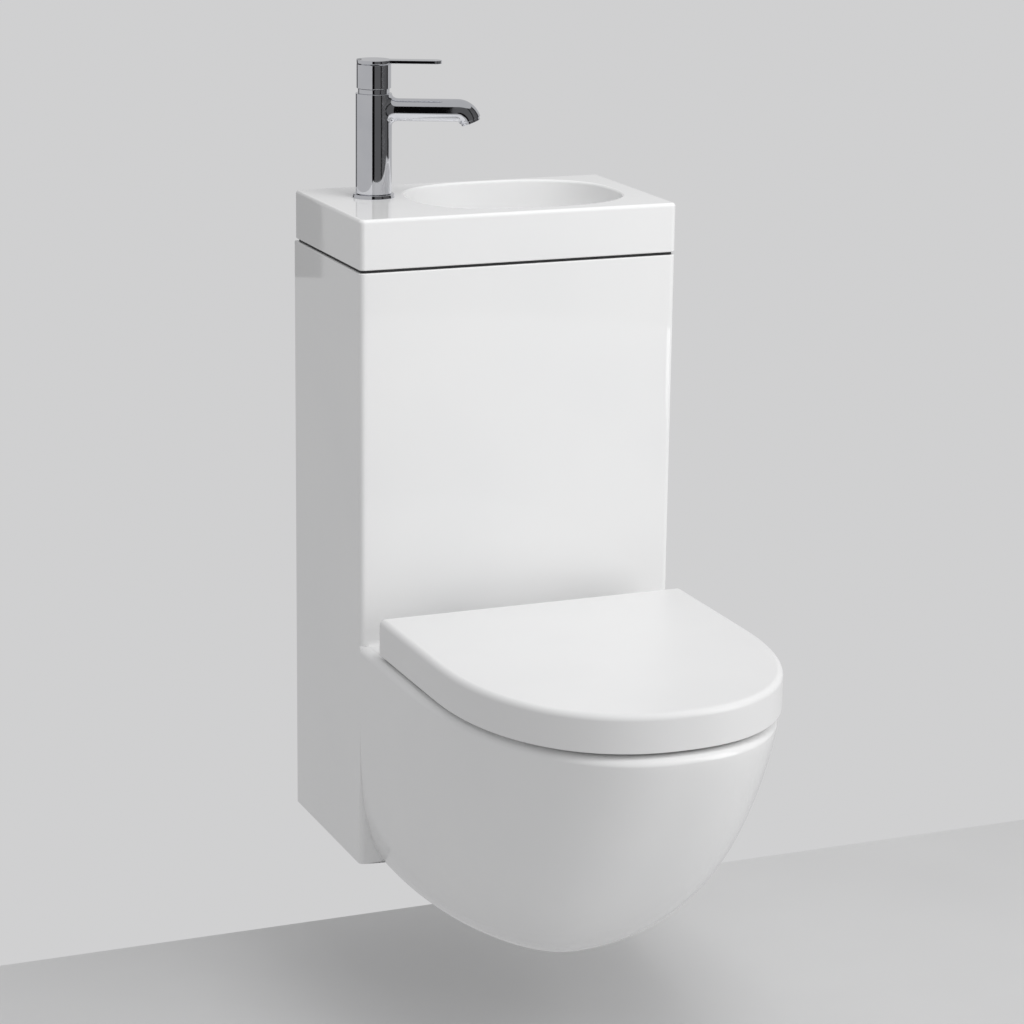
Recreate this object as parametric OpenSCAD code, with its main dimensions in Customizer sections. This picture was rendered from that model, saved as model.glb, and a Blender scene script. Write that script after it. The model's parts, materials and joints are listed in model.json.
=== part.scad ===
// Wall-hung toilet with a cistern column and a basin on top, built as separate pieces.
// Millimetres. X to the right, Y into the wall (wall face at y = 0), Z up.
// The origin is midway between the two wall fixings, on the wall face.

/* [Column] */
// Width of the column, pan and basin
column_w = 360; // [350:1:372]
// Depth of the column from the wall
column_d = 212; // [208:1:222]
// Height of the column from its foot to the shadow gap
column_h = 650; // [640:1:670]
// Wall thickness of the column
column_wall = 12; // [10:0.5:13]
// Radius of the column's upright front corners
column_corner_r = 6; // [3:0.5:9]
// Height of the wall fixings above the column's foot
fixing_h = 170; // [165:1:178]
// Distance between the two wall fixings
fixing_pitch = 180; // [170:1:200]
// Thickness of the cross wall that carries the fixings
web_t = 14; // [12:1:16]
// Distance of the cross wall from the wall face
web_gap = 26; // [22:1:30]

/* [Pan] */
// Height of the rim above the column's foot
rim_h = 248; // [244:1:254]
// Distance of the rim's front edge from the wall
pan_reach = 650; // [640:1:665]
// Depth of the pan's belly below the column's foot
belly_drop = 62; // [58:1:68]
// Thickness of the pan's outer shell
pan_wall = 12; // [10:0.5:13]
// Radius along the rim's outer edge
rim_edge_r = 9; // [6:0.5:11]
// Width of the rim beside the bowl's mouth
rim_side_w = 46; // [42:1:54]
// Width of the rim in front of the bowl's mouth
rim_front_w = 42; // [38:1:50]
// Distance of the mouth's back edge from the wall
mouth_back = 304; // [300:1:308]
// Thickness of the bowl's own shell
bowl_wall = 9; // [8:0.5:10]
// Bore radius of the trapway
trap_bore_r = 28; // [26:0.5:29]
// Outer radius of the outlet spigot
outlet_r = 51; // [49:0.5:52]
// Bore radius of the outlet spigot
outlet_bore_r = 43; // [41:0.5:44]
// Length of the spigot that goes into the drain connector
spigot_l = 60; // [50:1:70]
// Height of the outlet's centre above the column's foot
outlet_h = 70; // [68:1:72]
// Distance between the outlet's end and the wall face
outlet_gap = 35; // [30:1:45]
// Bore radius of the flush inlet socket
inlet_bore_r = 28; // [27:0.5:30]
// Height of the flush inlet above the column's foot
inlet_h = 205; // [202:1:208]

/* [Basin] */
// Height of the basin slab above the shadow gap
basin_h = 53; // [50:1:58]
// Height of the shadow gap
shadow_gap = 3; // [2:0.5:5]
// Radius along the basin's top edge
basin_edge_r = 4; // [2:0.5:5]
// Thickness of the basin's deck and skirt
basin_wall = 13; // [11:0.5:14]
// Width of the deck beside the bowl
bowl_side = 26; // [23:1:32]
// Half depth of the bowl
bowl_b = 90; // [84:1:92]
// Sideways place of the bowl's centre
bowl_x = 36; // [30:1:38]
// Distance of the bowl's centre from the wall
bowl_y = 100; // [99:1:103]
// Depth of the bowl below the deck
bowl_depth = 95; // [88:1:98]
// Thickness of the bowl's shell
bowl_shell = 9; // [8:0.5:10]

/* [Seat and lid] */
// Distance between the lid's side and the column's side
lid_side = 5; // [2:0.5:8]
// How far the lid's front edge lies behind the rim's front edge
lid_front_in = 5; // [0:0.5:8]
// Distance of the lid's back edge from the wall
lid_back = 254.5; // [254:0.5:257]
// Height of the lid, from its lower edge to its top
lid_h = 40.5; // [38:0.5:43]
// Gap between the rim and the lid's lower edge
lid_gap = 2.5; // [2:0.25:3.5]
// Wall thickness of the lid
lid_wall = 4.5; // [4:0.25:5]
// Radius along the lid's top edge
lid_edge_r = 6.75; // [4:0.25:7.5]
// Thickness of the seat ring
seat_t = 18; // [16:0.5:19]
// Height of the seat's underside above the rim
seat_lift = 4.5; // [4:0.25:6]
// How far the seat covers the bowl's mouth at its sides
seat_over_side = 21; // [16:1:26]
// How far the seat covers the bowl's mouth at its front and back
seat_over_front = 15; // [10:1:20]
// Distance of the hinge axis from the wall
hinge_y = 262; // [260:0.5:263]
// Height of the hinge axis above the rim
hinge_h = 16; // [15.5:0.25:17]
// Distance between the two hinges
hinge_pitch = 155; // [150:1:160]
// Radius of the hinge barrels
barrel_r = 8.8; // [8:0.1:9.2]
// Radius of the hinge pins
hinge_pin_r = 4; // [3:0.25:5]
// Distance of the hinge studs from the wall
stud_y = 246; // [244:0.5:248]
// Radius of the hinge studs
stud_r = 4; // [3:0.25:5]

/* [Tap] */
// Distance of the tap's axis from the basin's side
tap_side = 65; // [62:1:70]
// Distance of the tap's axis from the wall
tap_y = 73; // [70:1:80]
// Turn of the spout and lever towards the front, degrees
tap_turn = 22.5; // [10:0.5:30]
// Radius of the tap's body
tap_r = 19.5; // [18:0.25:21]
// Height of the tap's body above the deck
tap_body_h = 111.5; // [105:0.5:115]
// Radius of the foot ring
foot_r = 23.1; // [22:0.1:25]
// Height of the foot ring
foot_h = 4; // [3:0.25:5]
// Radius of the neck ring
neck_r = 17; // [14.5:0.25:18]
// Height of the neck ring
neck_h = 5; // [4:0.25:7]
// Radius of the cap
cap_r = 18.6; // [16.5:0.1:19.4]
// Height of the cap without its lever
cap_h = 25.5; // [23:0.5:28]
// Thickness of the lever blade
lever_t = 3.7; // [3:0.1:4.5]
// Reach of the lever blade from the tap's axis
lever_reach = 72.5; // [68:0.5:85]
// Width of the lever blade
lever_w = 15; // [12:0.5:18]
// Radius of the spout
spout_r = 12; // [11:0.1:12.5]
// Bore radius of the spout
spout_bore_r = 8; // [7:0.25:9]
// Height of the spout's axis above the deck
spout_h = 94; // [90:0.5:96]
// Reach of the spout up to its bend
spout_reach = 89.2; // [80:0.2:95]
// Turn of the spout's bend, degrees
spout_bend = 68; // [60:1:80]
// Radius of the cartridge
cartridge_r = 12.4; // [12:0.1:13]
// Radius of the tap's threaded shank
shank_r = 16.5; // [15.5:0.25:17]

/* [Basin waste] */
// Radius of the waste hole in the basin
waste_hole_r = 23; // [22:0.25:24]
// Radius of the waste flange
flange_r = 31; // [29:0.5:32]
// Radius of the waste tail
tail_r = 20.9; // [20:0.1:21.5]
// Bore radius of the waste tail
tail_bore_r = 17; // [16:0.25:18]
// Radius of the bottle trap
bottle_r = 34; // [32:0.5:36]
// Height of the bottle trap's body
bottle_h = 54; // [50:1:56]
// Radius of the trap's outlet pipe
waste_pipe_r = 16; // [15.5:0.1:16.5]
// Length of the trap pipe that goes into the wall connection
pipe_free_l = 36; // [32:1:38]
// Bore radius of the trap's outlet pipe
waste_pipe_bore_r = 14; // [13:0.25:14.5]

/* [Cistern] */
// Gap between the tank and the column's side walls
tank_side = 10; // [8:0.5:16]
// Depth of the cistern tank
tank_d = 156; // [150:1:158]
// Distance between the tank's top and the column's top
tank_drop = 196; // [194:1:202]
// Wall thickness of the tank
tank_wall = 3.5; // [3:0.25:4.5]
// Height of the tank's floor above the column's foot
tank_z = 280; // [278:1:284]
// Radius of the flush pipe
flush_pipe_r = 22; // [21:0.25:22.5]
// Bore radius of the flush pipe
flush_bore_r = 19.5; // [18.5:0.25:20]
// Distance of the flush valve from the wall
valve_y = 110; // [106:1:114]
// Radius of the flush valve's tail
valve_tail_r = 28; // [27:0.25:29]
// Distance of the fill valve's axis from the tank's side
fill_side = 46; // [40:1:52]
// Radius of the fill valve's shank
fill_shank_r = 10.4; // [10:0.1:11]
// Radius of the fill valve's collar, under its nut
fill_collar_r = 11.5; // [11:0.1:12.5]
// Length of the fill valve's free thread
fill_thread_l = 23; // [20:1:26]
// Radius of the float
float_r = 28; // [26:0.5:30]

/* [Flush buttons] */
// Distance of the buttons' middle below the column's top
button_drop = 90; // [80:1:100]
// Length of the button frame
frame_l = 92; // [88:1:98]
// Height of the button frame
frame_w = 46; // [44:1:50]
// How far the frame stands out of the column
frame_t = 2.5; // [2:0.25:3.5]
// Length of the large button
button_l = 44; // [40:0.5:46]
// Length of the small button
button_s = 26; // [23:0.5:27]
// Width of both buttons
button_w = 30; // [28:0.5:32]
// Radius of the buttons' stems
stem_r = 6; // [5:0.25:7]

/* [Fits] */
// Radial clearance of a pin that turns or slides in its hole
run_fit = 0.06; // [0.03:0.01:0.1]
// Gap between pieces that pass each other
pass_gap = 0.5; // [0.3:0.1:0.8]
// Gap round a piece that is fitted by hand
hand_gap = 0.3; // [0.2:0.05:0.5]

/* [Hidden] */
$fn = 64;

// Heights are given above the column's foot; z() turns them into the part's frame
function z(h) = h - fixing_h;

deck_h = column_h + shadow_gap + basin_h;
wall_in = column_w / 2 - column_wall;
front_in = column_d - column_wall;
mouth_a = column_w / 2 - rim_side_w;
mouth_b = (pan_reach - rim_front_w - mouth_back) / 2;
mouth_y = mouth_back + mouth_b;
lid_w = column_w / 2 - lid_side;
lid_reach = pan_reach - lid_front_in;
lid_mid = mouth_y - 41;
seat_hole_a = mouth_a - seat_over_side;
seat_hole_b = mouth_b - seat_over_front;
bowl_a = column_w / 2 - bowl_side - bowl_x;
tap_x = -column_w / 2 + tap_side;
tank_w = 2 * (wall_in - tank_side);
tank_h = column_h - tank_drop - tank_z;
fill_x = -tank_w / 2 + fill_side;
button_h = column_h - button_drop;
rim_z = z(rim_h);
hinge_z = rim_z + hinge_h;
seat_z = rim_z + seat_lift;
lid_z = rim_z + lid_gap;
deck_z = z(deck_h);
bowl_floor_z = deck_z - bowl_depth;
tap_top_z = deck_z + tap_body_h;
neck_top_z = tap_top_z + neck_h;
cap_z = neck_top_z + pass_gap;
cap_top_z = cap_z + cap_h;
lever_gap = 0.9;
lever_z = cap_top_z + lever_gap;
lever_pin_x = -cap_r + 2.2;
lever_pin_z = lever_z + 1.2;
lever_pin_r = 0.9;
tank_back = 36;
tank_y = -tank_back - tank_d / 2;
tie_x = wall_in - 20;
tie_y = 28;
tie_r = 4;
lug_h = column_h - 50;
lug_t = 12;
rib_h = column_h - 75;
rib_t = 14;
trap_bend_r = 45;
trap_wall = 9;
sump_y = 346;
sump_h = -8;
flush_bend_r = 40;
waste_x = bowl_x;
waste_y = bowl_y;
trap_top_z = bowl_floor_z - 37;
bottle_top_z = trap_top_z - 22;
bottle_z = bottle_top_z - bottle_h;
pipe_z = bottle_top_z - 22;
button_y = 106;
button_gap = 0.8;
button_span = button_l + button_s + button_gap;
large_y = button_y + button_span / 2 - button_l / 2;
small_y = button_y - button_span / 2 + button_s / 2;
button_travel = 6;

// Curves
function spow(v, e) = sign(v) * pow(abs(v), e);

// A D-shaped ring, anticlockwise from above: superellipse front, straight sides, rounded back corners
function d_ring(w, yc, yf, n, yb, zz, m, rb) = concat(
    [for (i = [0 : m])
        let (a = 180 + 180 * i / m)
        [w * spow(cos(a), 2 / n), yc + (yc - yf) * spow(sin(a), 2 / n), zz]],
    [for (a = [0 : 30 : 90]) [w - rb + rb * cos(a), yb - rb + rb * sin(a), zz]],
    [for (a = [90 : 30 : 180]) [-w + rb + rb * cos(a), yb - rb + rb * sin(a), zz]]
);

// A closed superellipse ring, anticlockwise from above
function oval_ring(cx, cy, a, b, n, zz, m) =
    [for (i = [0 : m - 1])
        let (t = 360 * i / m)
        [cx + a * spow(cos(t), 2 / n), cy + b * spow(sin(t), 2 / n), zz]];

// A solid through rings of equal count, from the lowest ring to the highest
module loft(rings) {
    m = len(rings[0]);
    k = len(rings);
    sides = [for (i = [0 : k - 2]) for (j = [0 : m - 1])
        let (a = i * m + j, b = i * m + (j + 1) % m)
        each [[a, a + m, b + m], [a, b + m, b]]];
    floor_face = [for (j = [0 : m - 1]) j];
    top_face = [for (j = [m - 1 : -1 : 0]) (k - 1) * m + j];
    polyhedron([for (r = rings) each r], concat([floor_face], sides, [top_face]), convexity = 8);
}

// A rectangle with round corners, centred
module round_rect(w, d, r) {
    square([w - 2 * r, d], center = true);
    square([w, d - 2 * r], center = true);
    for (x = [-1, 1])
        for (y = [-1, 1])
            translate([x * (w / 2 - r), y * (d / 2 - r)])
                circle(r);
}

// A ring with round corners, centred, anticlockwise from above
function rect_ring(w, d, r, zz) =
    [for (q = [0 : 3]) for (i = [0 : 4])
        let (a = 90 * q + 22.5 * i, sx = q == 0 || q == 3 ? 1 : -1, sy = q < 2 ? 1 : -1)
        [sx * (w / 2 - r) + r * cos(a), sy * (d / 2 - r) + r * sin(a), zz]];

// A slab with round upright corners and a round top edge
module soft_slab(w, d, h, rc, re) {
    loft(concat(
        [rect_ring(w, d, rc, 0)],
        [for (a = [0 : 30 : 90])
            rect_ring(w - 2 * re * (1 - cos(a)), d - 2 * re * (1 - cos(a)),
                max(0.2, rc - re * (1 - cos(a))), h - re + re * sin(a))]
    ));
}

// A ring about Z
module ring(r_out, r_in, h) {
    difference() {
        cylinder(r = r_out, h = h);
        translate([0, 0, -1])
            cylinder(r = r_in, h = h + 2);
    }
}

// A six-sided nut about Z, with its corners turned off
module hex_nut(flat, r_in, h) {
    difference() {
        intersection() {
            cylinder(r = flat / sqrt(3), h = h, $fn = 6);
            cylinder(r = flat / sqrt(3) - flat * 0.02, h = h);
        }
        translate([0, 0, -1])
            cylinder(r = r_in, h = h + 2);
    }
}

// A cylinder that points towards the front (-Y)
module to_front(x, y0, zz, r, l) {
    translate([x, y0, zz])
        rotate([90, 0, 0])
            cylinder(r = r, h = l);
}

// The pan's outside
function pan_k(t) = pow(max(0, 1 - pow(t, 1.25)), 0.7);
function pan_kw(t) = t < 0.2 ? 1 : pow(max(0, 1 - pow(t, 5)), 0.44);
pan_span = rim_h - 8 + belly_drop;
function pan_t(h) = min(1, max(0, (rim_h - 8 - h) / pan_span));
function pan_front(h) = 370 + (pan_reach - 370) * pan_k(pan_t(h));
function pan_half(h) = column_w / 2 * pan_kw(pan_t(h));
function pan_centre(h) = 345 - 215 * pow(pan_t(h), 1.2);
function pan_n(h) = 2.35 + 0.4 * pow(pan_t(h), 1.2);
function belly_back(h) = column_d + (320 - column_d) * min(1, max(0, -h / belly_drop));

// One ring of the pan at height h, drawn in by inset; it runs on behind the column's front
function pan_ring(h, inset, m) = d_ring(
    pan_half(h) - inset, -min(pan_centre(h), pan_front(h) - inset - 20), -pan_front(h) + inset,
    pan_n(h), -column_d / 2, z(h), m, 0.5);

// Halfway-round point between p and r, pulled towards the corner q
function round_off(p, q, r, t) = (1 - t) * (1 - t) * p + 2 * t * (1 - t) * q + t * t * r;

// One ring of the belly below the column's foot, closed towards the wall with round corners
function belly_ring(h, inset, m) =
    let (w = pan_half(h) - inset, yf = pan_front(h) - inset, n = pan_n(h))
    let (yc = min(pan_centre(h), yf - 20), back = belly_back(h) + inset)
    let (c0 = min(0.97, max(0, (back - yc) / (yf - yc))))
    let (x0 = w * pow(1 - pow(c0, n), 1 / n))
    let (soft = min(4 + 46 * sqrt(max(0, -h) / belly_drop), x0 * 0.8, (yf - back) * 0.5))
    let (c1 = min(0.98, max(0, (back + soft - yc) / (yf - yc))))
    let (a1 = asin(pow(c1, n / 2)))
    let (x1 = w * pow(cos(a1), 2 / n), y1 = -yc - (yf - yc) * c1)
    concat(
        [for (i = [0 : m])
            let (a = 180 + a1 + (180 - 2 * a1) * i / m)
            [w * spow(cos(a), 2 / n), -yc + (yf - yc) * spow(sin(a), 2 / n), z(h)]],
        [for (t = [0.25 : 0.25 : 1])
            let (q = round_off([x1, y1], [x0, -back], [x0 - soft, -back], t))
            [q[0], q[1], z(h)]],
        [for (t = [0 : 0.25 : 0.75])
            let (q = round_off([-x0 + soft, -back], [-x0, -back], [-x1, y1], t))
            [q[0], q[1], z(h)]]
    );

module pan_sides() {
    edge = [for (a = [0 : 30 : 90]) [rim_h - rim_edge_r + rim_edge_r * sin(a), rim_edge_r * (1 - cos(a))]];
    levels = [for (i = [0 : 8]) (rim_h - rim_edge_r) * i / 9];
    loft(concat(
        [for (h = levels) pan_ring(h, 0, 30)],
        [for (e = edge) pan_ring(e[0], e[1], 30)]
    ));
}

module pan_outside() {
    pan_sides();
    belly = [for (i = [0 : 7]) -belly_drop * 0.985 * sin(90 - 90 * i / 7)];
    loft(concat(
        [for (h = belly) belly_ring(h, 0, 30)],
        [belly_ring(2, 0, 30)]
    ));
}

module pan_hollow() {
    top = rim_h - pan_wall;
    levels = [for (i = [0 : 6]) pan_wall + (top - pan_wall) * i / 6];
    loft([for (h = levels) pan_ring(h, pan_wall, 24)]);
    low = -belly_drop + pan_wall + 4;
    belly = [for (i = [0 : 3]) low * cos(90 * i / 3)];
    loft(concat(
        [for (h = belly) belly_ring(h, pan_wall, 24)],
        [belly_ring(pan_wall + 1, pan_wall, 24)]
    ));
}

// The pan's bowl
bowl_top_h = rim_h;
bowl_low_h = -38;
function bowl_t(h) = (bowl_top_h - h) / (bowl_top_h - bowl_low_h);
function bowl_k(t) = pow(max(0, 1 - pow(t, 2.2)), 0.62);
function bowl_half(h) = max(40, mouth_a * bowl_k(bowl_t(h)));
function bowl_long(h) = max(40, mouth_b * bowl_k(bowl_t(h)));
function bowl_mid(h) = mouth_y - (mouth_y - sump_y) * pow(bowl_t(h), 1.5);
function pan_bowl_ring(h, grow, zz, m) =
    oval_ring(0, -bowl_mid(h), bowl_half(h) + grow, bowl_long(h) + grow, 2.15, zz, m);

module bowl_inside() {
    levels = [for (i = [0 : 9]) bowl_low_h + (bowl_top_h - bowl_low_h) * (1 - cos(90 * i / 9))];
    loft(concat(
        [for (h = levels) pan_bowl_ring(h, 0, z(h), 36)],
        [pan_bowl_ring(bowl_top_h, 0, rim_z + 5, 36)]
    ));
}

module bowl_outside() {
    levels = [for (i = [0 : 6]) bowl_low_h + (rim_h - 4 - bowl_low_h) * (1 - cos(90 * i / 6))];
    loft(concat(
        [pan_bowl_ring(bowl_low_h, bowl_wall, z(bowl_low_h) - bowl_wall, 28)],
        [for (h = levels) pan_bowl_ring(h, bowl_wall, z(h), 28)]
    ));
}

// The trapway: sump, up leg, crown, down leg
up_angle = 60;
down_angle = 35;
crown_h = 103;
leg_y = sump_y - 24 - trap_bend_r * sin(up_angle);
leg_h = sump_h + trap_bend_r * (1 - cos(up_angle));
leg_rise = crown_h - trap_bend_r * (1 - cos(up_angle)) - leg_h;
leg_l = leg_rise / sin(up_angle);
crown_y = leg_y - leg_l * cos(up_angle) - trap_bend_r * sin(up_angle);
fall_y = crown_y - trap_bend_r * sin(down_angle);
fall_h = crown_h - trap_bend_r * (1 - cos(down_angle));

// One ring of a tube in the Y-Z plane, centred at distance y and height h, running at angle a
function tube_ring(y, h, a, r, m) =
    [for (i = [0 : m - 1])
        let (t = 360 * i / m)
        [r * cos(t), -y + r * sin(t) * sin(a), z(h) - r * sin(t) * cos(a)]];

module trapway(r, extra, m) {
    up_bend = [for (a = [0 : 20 : up_angle])
        [sump_y - 24 - trap_bend_r * sin(a), sump_h + trap_bend_r * (1 - cos(a)), a]];
    over_bend = [for (i = [0 : 6])
        let (a = up_angle - (up_angle + down_angle) * i / 6)
        [crown_y + trap_bend_r * sin(a), crown_h - trap_bend_r * (1 - cos(a)), a]];
    fall_l = 30 + extra;
    last = [[fall_y - fall_l * cos(down_angle), fall_h - fall_l * sin(down_angle), -down_angle]];
    path = concat([[sump_y, sump_h, 0]], up_bend, over_bend, last);
    loft([for (p = path) tube_ring(p[0], p[1], p[2], r, m)]);
}

outlet_l = 165 - outlet_gap;

// The casting is one piece of fired clay, made up of six cast sections that are stuck
// together face to face: the column, the rim, the pan's shell, the bowl, the trapway and the outlet

// Keeps what lies in front of the column, between two heights
module in_front(h0, h1) {
    intersection() {
        children();
        translate([-column_w, -2 * pan_reach, z(h0)])
            cube([2 * column_w, 2 * pan_reach - column_d, h1 - h0]);
    }
}

rim_under = rim_h - pan_wall;

module casting_column() {
    color("white")
    difference() {
        union() {
            difference() {
                column_block();
                column_hollow();
                pan_opening();
            }
            cross_wall(z(fixing_h) - 36, 70);
            cross_wall(z(tank_z) - rib_t, rib_t);
            cross_wall(z(rib_h), rib_t);
            translate([-wall_in - 1, -front_in - 1, z(tank_z) - rib_t])
                cube([2 * wall_in + 2, 18, rib_t]);
            for (s = [-1, 1])
                translate([s * (wall_in - 15), -tie_y, z(lug_h) + lug_t / 2])
                    cube([34, 34, lug_t], center = true);
        }
        for (s = [-1, 1]) {
            to_front(s * fixing_pitch / 2, 0, 0, sleeve_r + hand_gap, 80);
            translate([s * tie_x, -tie_y, z(lug_h) - 1])
                cylinder(r = tie_r + 0.8, h = lug_t + 2);
        }
        translate([wall_in - 5, -button_y, z(button_h)])
            rotate([90, 0, 90])
                linear_extrude(column_wall + 10)
                    round_rect(frame_l - 12, frame_w - 12, 4);
    }
}

module casting_rim() {
    color("white")
    difference() {
        union() {
            in_front(rim_under, rim_h + 1)
                pan_sides();
            rim_cove();
        }
        bowl_inside();
        for (s = [-1, 1])
            translate([s * hinge_pitch / 2, -stud_y, z(rim_under) - 5])
                cylinder(r = stud_r + 2, h = pan_wall + 10);
    }
}

module casting_pan() {
    color("white")
    difference() {
        in_front(-2 * belly_drop, rim_under)
            pan_outside();
        pan_hollow();
        bowl_outside();
    }
}

module casting_bowl() {
    color("white")
    difference() {
        intersection() {
            union() {
                bowl_outside();
                to_front(0, -front_in + 6, z(inlet_h), inlet_bore_r + 8, 112);
            }
            translate([-column_w, -2 * pan_reach, z(-2 * belly_drop)])
                cube([2 * column_w, 2 * pan_reach, rim_under + 2 * belly_drop]);
        }
        bowl_inside();
        trapway(trap_bore_r, 12, 20);
        to_front(0, -front_in + 7, z(inlet_h), inlet_bore_r, 60);
        to_front(0, -front_in - 50, z(inlet_h), inlet_bore_r - 6, 90);
    }
}

module casting_trapway() {
    color("white")
    difference() {
        trapway(trap_bore_r + trap_wall, 0, 20);
        bowl_outside();
        translate([-column_w, -outlet_gap - outlet_l, z(0)])
            cube([2 * column_w, outlet_gap + outlet_l, column_h]);
        trapway(trap_bore_r, 12, 20);
    }
}

module casting_outlet() {
    color("white")
    difference() {
        union() {
            to_front(0, -outlet_gap, z(outlet_h), outlet_r, spigot_l + 1);
            to_front(0, -outlet_gap - spigot_l, z(outlet_h), outlet_r + 2, outlet_l - spigot_l);
        }
        to_front(0, -outlet_gap + 1, z(outlet_h), outlet_bore_r, outlet_l - 8);
        translate([0, -fall_y, z(fall_h)])
            rotate([-90 - down_angle, 0, 0])
                cylinder(r = trap_bore_r, h = 42);
    }
}

module column_block() {
    translate([0, -column_d / 2, z(0)])
        linear_extrude(column_h) {
            round_rect(column_w, column_d, column_corner_r);
            translate([-column_w / 2, 0])
                square([column_w, column_d / 2]);
        }
}

// The cove where the column's front meets the rim
module rim_cove() {
    difference() {
        translate([-column_w / 2 + rim_edge_r, -column_d - 6, rim_z - 1])
            cube([column_w - 2 * rim_edge_r, 6, 7]);
        translate([0, -column_d - 6, rim_z + 6])
            rotate([0, 90, 0])
                cylinder(r = 6, h = column_w + 2, center = true);
    }
}

module column_hollow() {
    translate([-wall_in, -front_in, z(column_wall)])
        cube([2 * wall_in, front_in + 1, column_h]);
}

// The opening in the column's front wall, behind the pan
module pan_opening() {
    levels = [for (i = [0 : 6]) pan_wall + (rim_under - pan_wall) * i / 6];
    translate([0, -front_in + 1, 0])
        rotate([90, 0, 0])
            linear_extrude(column_wall + 2)
                polygon(concat(
                    [for (h = levels) [pan_half(h) - pan_wall - 1, z(h)]],
                    [for (i = [6 : -1 : 0]) [pan_wall + 1 - pan_half(levels[i]), z(levels[i])]]
                ));
}

module cross_wall(z0, h) {
    translate([-wall_in - 1, -web_gap - web_t, z0])
        cube([2 * wall_in + 2, web_t, h]);
}

// Basin
function basin_k(t) = pow(max(0, 1 - pow(t, 3.2)), 0.42);
function basin_ring(t, grow, zz, m) = oval_ring(
    bowl_x, -bowl_y,
    max(flange_r + 2, bowl_a * basin_k(t)) + grow, max(flange_r + 2, bowl_b * basin_k(t)) + grow,
    2.5 - 0.4 * t, zz, m);

module basin() {
    color("white")
    difference() {
        union() {
            difference() {
                translate([0, -column_d / 2, z(column_h + shadow_gap)])
                    soft_slab(column_w, column_d, basin_h, column_corner_r, basin_edge_r);
                translate([0, -column_d / 2, z(column_h + shadow_gap) - 1])
                    linear_extrude(basin_h - basin_wall + 1)
                        round_rect(column_w - 2 * basin_wall, column_d - 2 * basin_wall, 3);
            }
            loft(concat(
                [basin_ring(1, bowl_shell, bowl_floor_z - bowl_shell, 32)],
                [for (i = [8 : -1 : 0])
                    let (t = sin(90 * i / 8))
                    basin_ring(t, bowl_shell, deck_z - 2 - (bowl_depth - 2) * t, 32)]
            ));
            for (s = [-1, 1])
                translate([s * tie_x, -tie_y, z(column_h + shadow_gap)])
                    cylinder(r = 11, h = basin_h - 5);
        }
        // The bowl's hollow, with a soft lip at the deck
        loft(concat(
            [for (i = [10 : -1 : 0])
                let (t = sin(90 * i / 10))
                basin_ring(t, 0, deck_z - 3 - (bowl_depth - 3) * t, 40)],
            [basin_ring(0, 0.8, deck_z - 1.2, 40),
             basin_ring(0, 3, deck_z + 0.01, 40),
             basin_ring(0, 3, deck_z + 5, 40)]
        ));
        translate([waste_x, -waste_y, bowl_floor_z - 40])
            cylinder(r = waste_hole_r, h = 60);
        translate([tap_x, -tap_y, deck_z - 40])
            cylinder(r = shank_r + 1, h = 60);
        for (s = [-1, 1])
            translate([s * tie_x, -tie_y, z(column_h)])
                cylinder(r = tie_r + run_fit, h = shadow_gap + 18);
    }
}

module basin_gasket() {
    color("gainsboro")
    translate([0, -column_d / 2, z(column_h)])
        linear_extrude(shadow_gap)
            difference() {
                round_rect(column_w - 6, column_d - 6, 4);
                round_rect(column_w - 2 * column_wall, column_d - 2 * column_wall, 2);
                translate([-wall_in, column_d / 2 - column_wall - 1])
                    square([2 * wall_in, column_wall + 2]);
            }
}

module basin_tie_bolts() {
    color("silver")
    for (s = [-1, 1])
        translate([s * tie_x, -tie_y, z(lug_h) - 1.6]) {
            cylinder(r = tie_r, h = column_h - lug_h + shadow_gap + 15);
            translate([0, 0, -5.3])
                hex_nut(13, 0.01, 5.3);
        }
}

module basin_tie_washers() {
    color("silver")
    for (s = [-1, 1])
        translate([s * tie_x, -tie_y, z(lug_h) - 1.6])
            ring(8.5, tie_r + 0.2, 1.6);
}

// Tap
module at_tap(zz) {
    translate([tap_x, -tap_y, zz])
        rotate([0, 0, -tap_turn])
            children();
}

spout_bend_r = 14;
shank_l = 46;
pocket_h = 38;

// One ring of the spout at (x, h) above the deck, heading down by angle a
function spout_ring(x, h, a, r) =
    [for (i = [0 : 23])
        let (t = 15 * i)
        [x + r * sin(t) * sin(a), r * cos(t), h + r * sin(t) * cos(a)]];

module spout_path(r, x0, extra) {
    tip = spout_tip + extra;
    end_x = spout_reach + spout_bend_r * sin(spout_bend);
    end_h = spout_h - spout_bend_r * (1 - cos(spout_bend));
    loft(concat(
        [spout_ring(x0, spout_h, 0, r)],
        [for (i = [0 : 5])
            let (a = spout_bend * i / 5)
            spout_ring(spout_reach + spout_bend_r * sin(a), spout_h - spout_bend_r * (1 - cos(a)), a, r)],
        [spout_ring(end_x + tip * cos(spout_bend), end_h - tip * sin(spout_bend), spout_bend, r)]
    ));
}

spout_tip = 1.5;

// Places children at the end of the spout's bend, with +Z pointing out of it
module spout_end() {
    translate([spout_reach + spout_bend_r * sin(spout_bend), 0, spout_h - spout_bend_r * (1 - cos(spout_bend))])
        rotate([0, 90 + spout_bend, 0])
            children();
}

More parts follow.
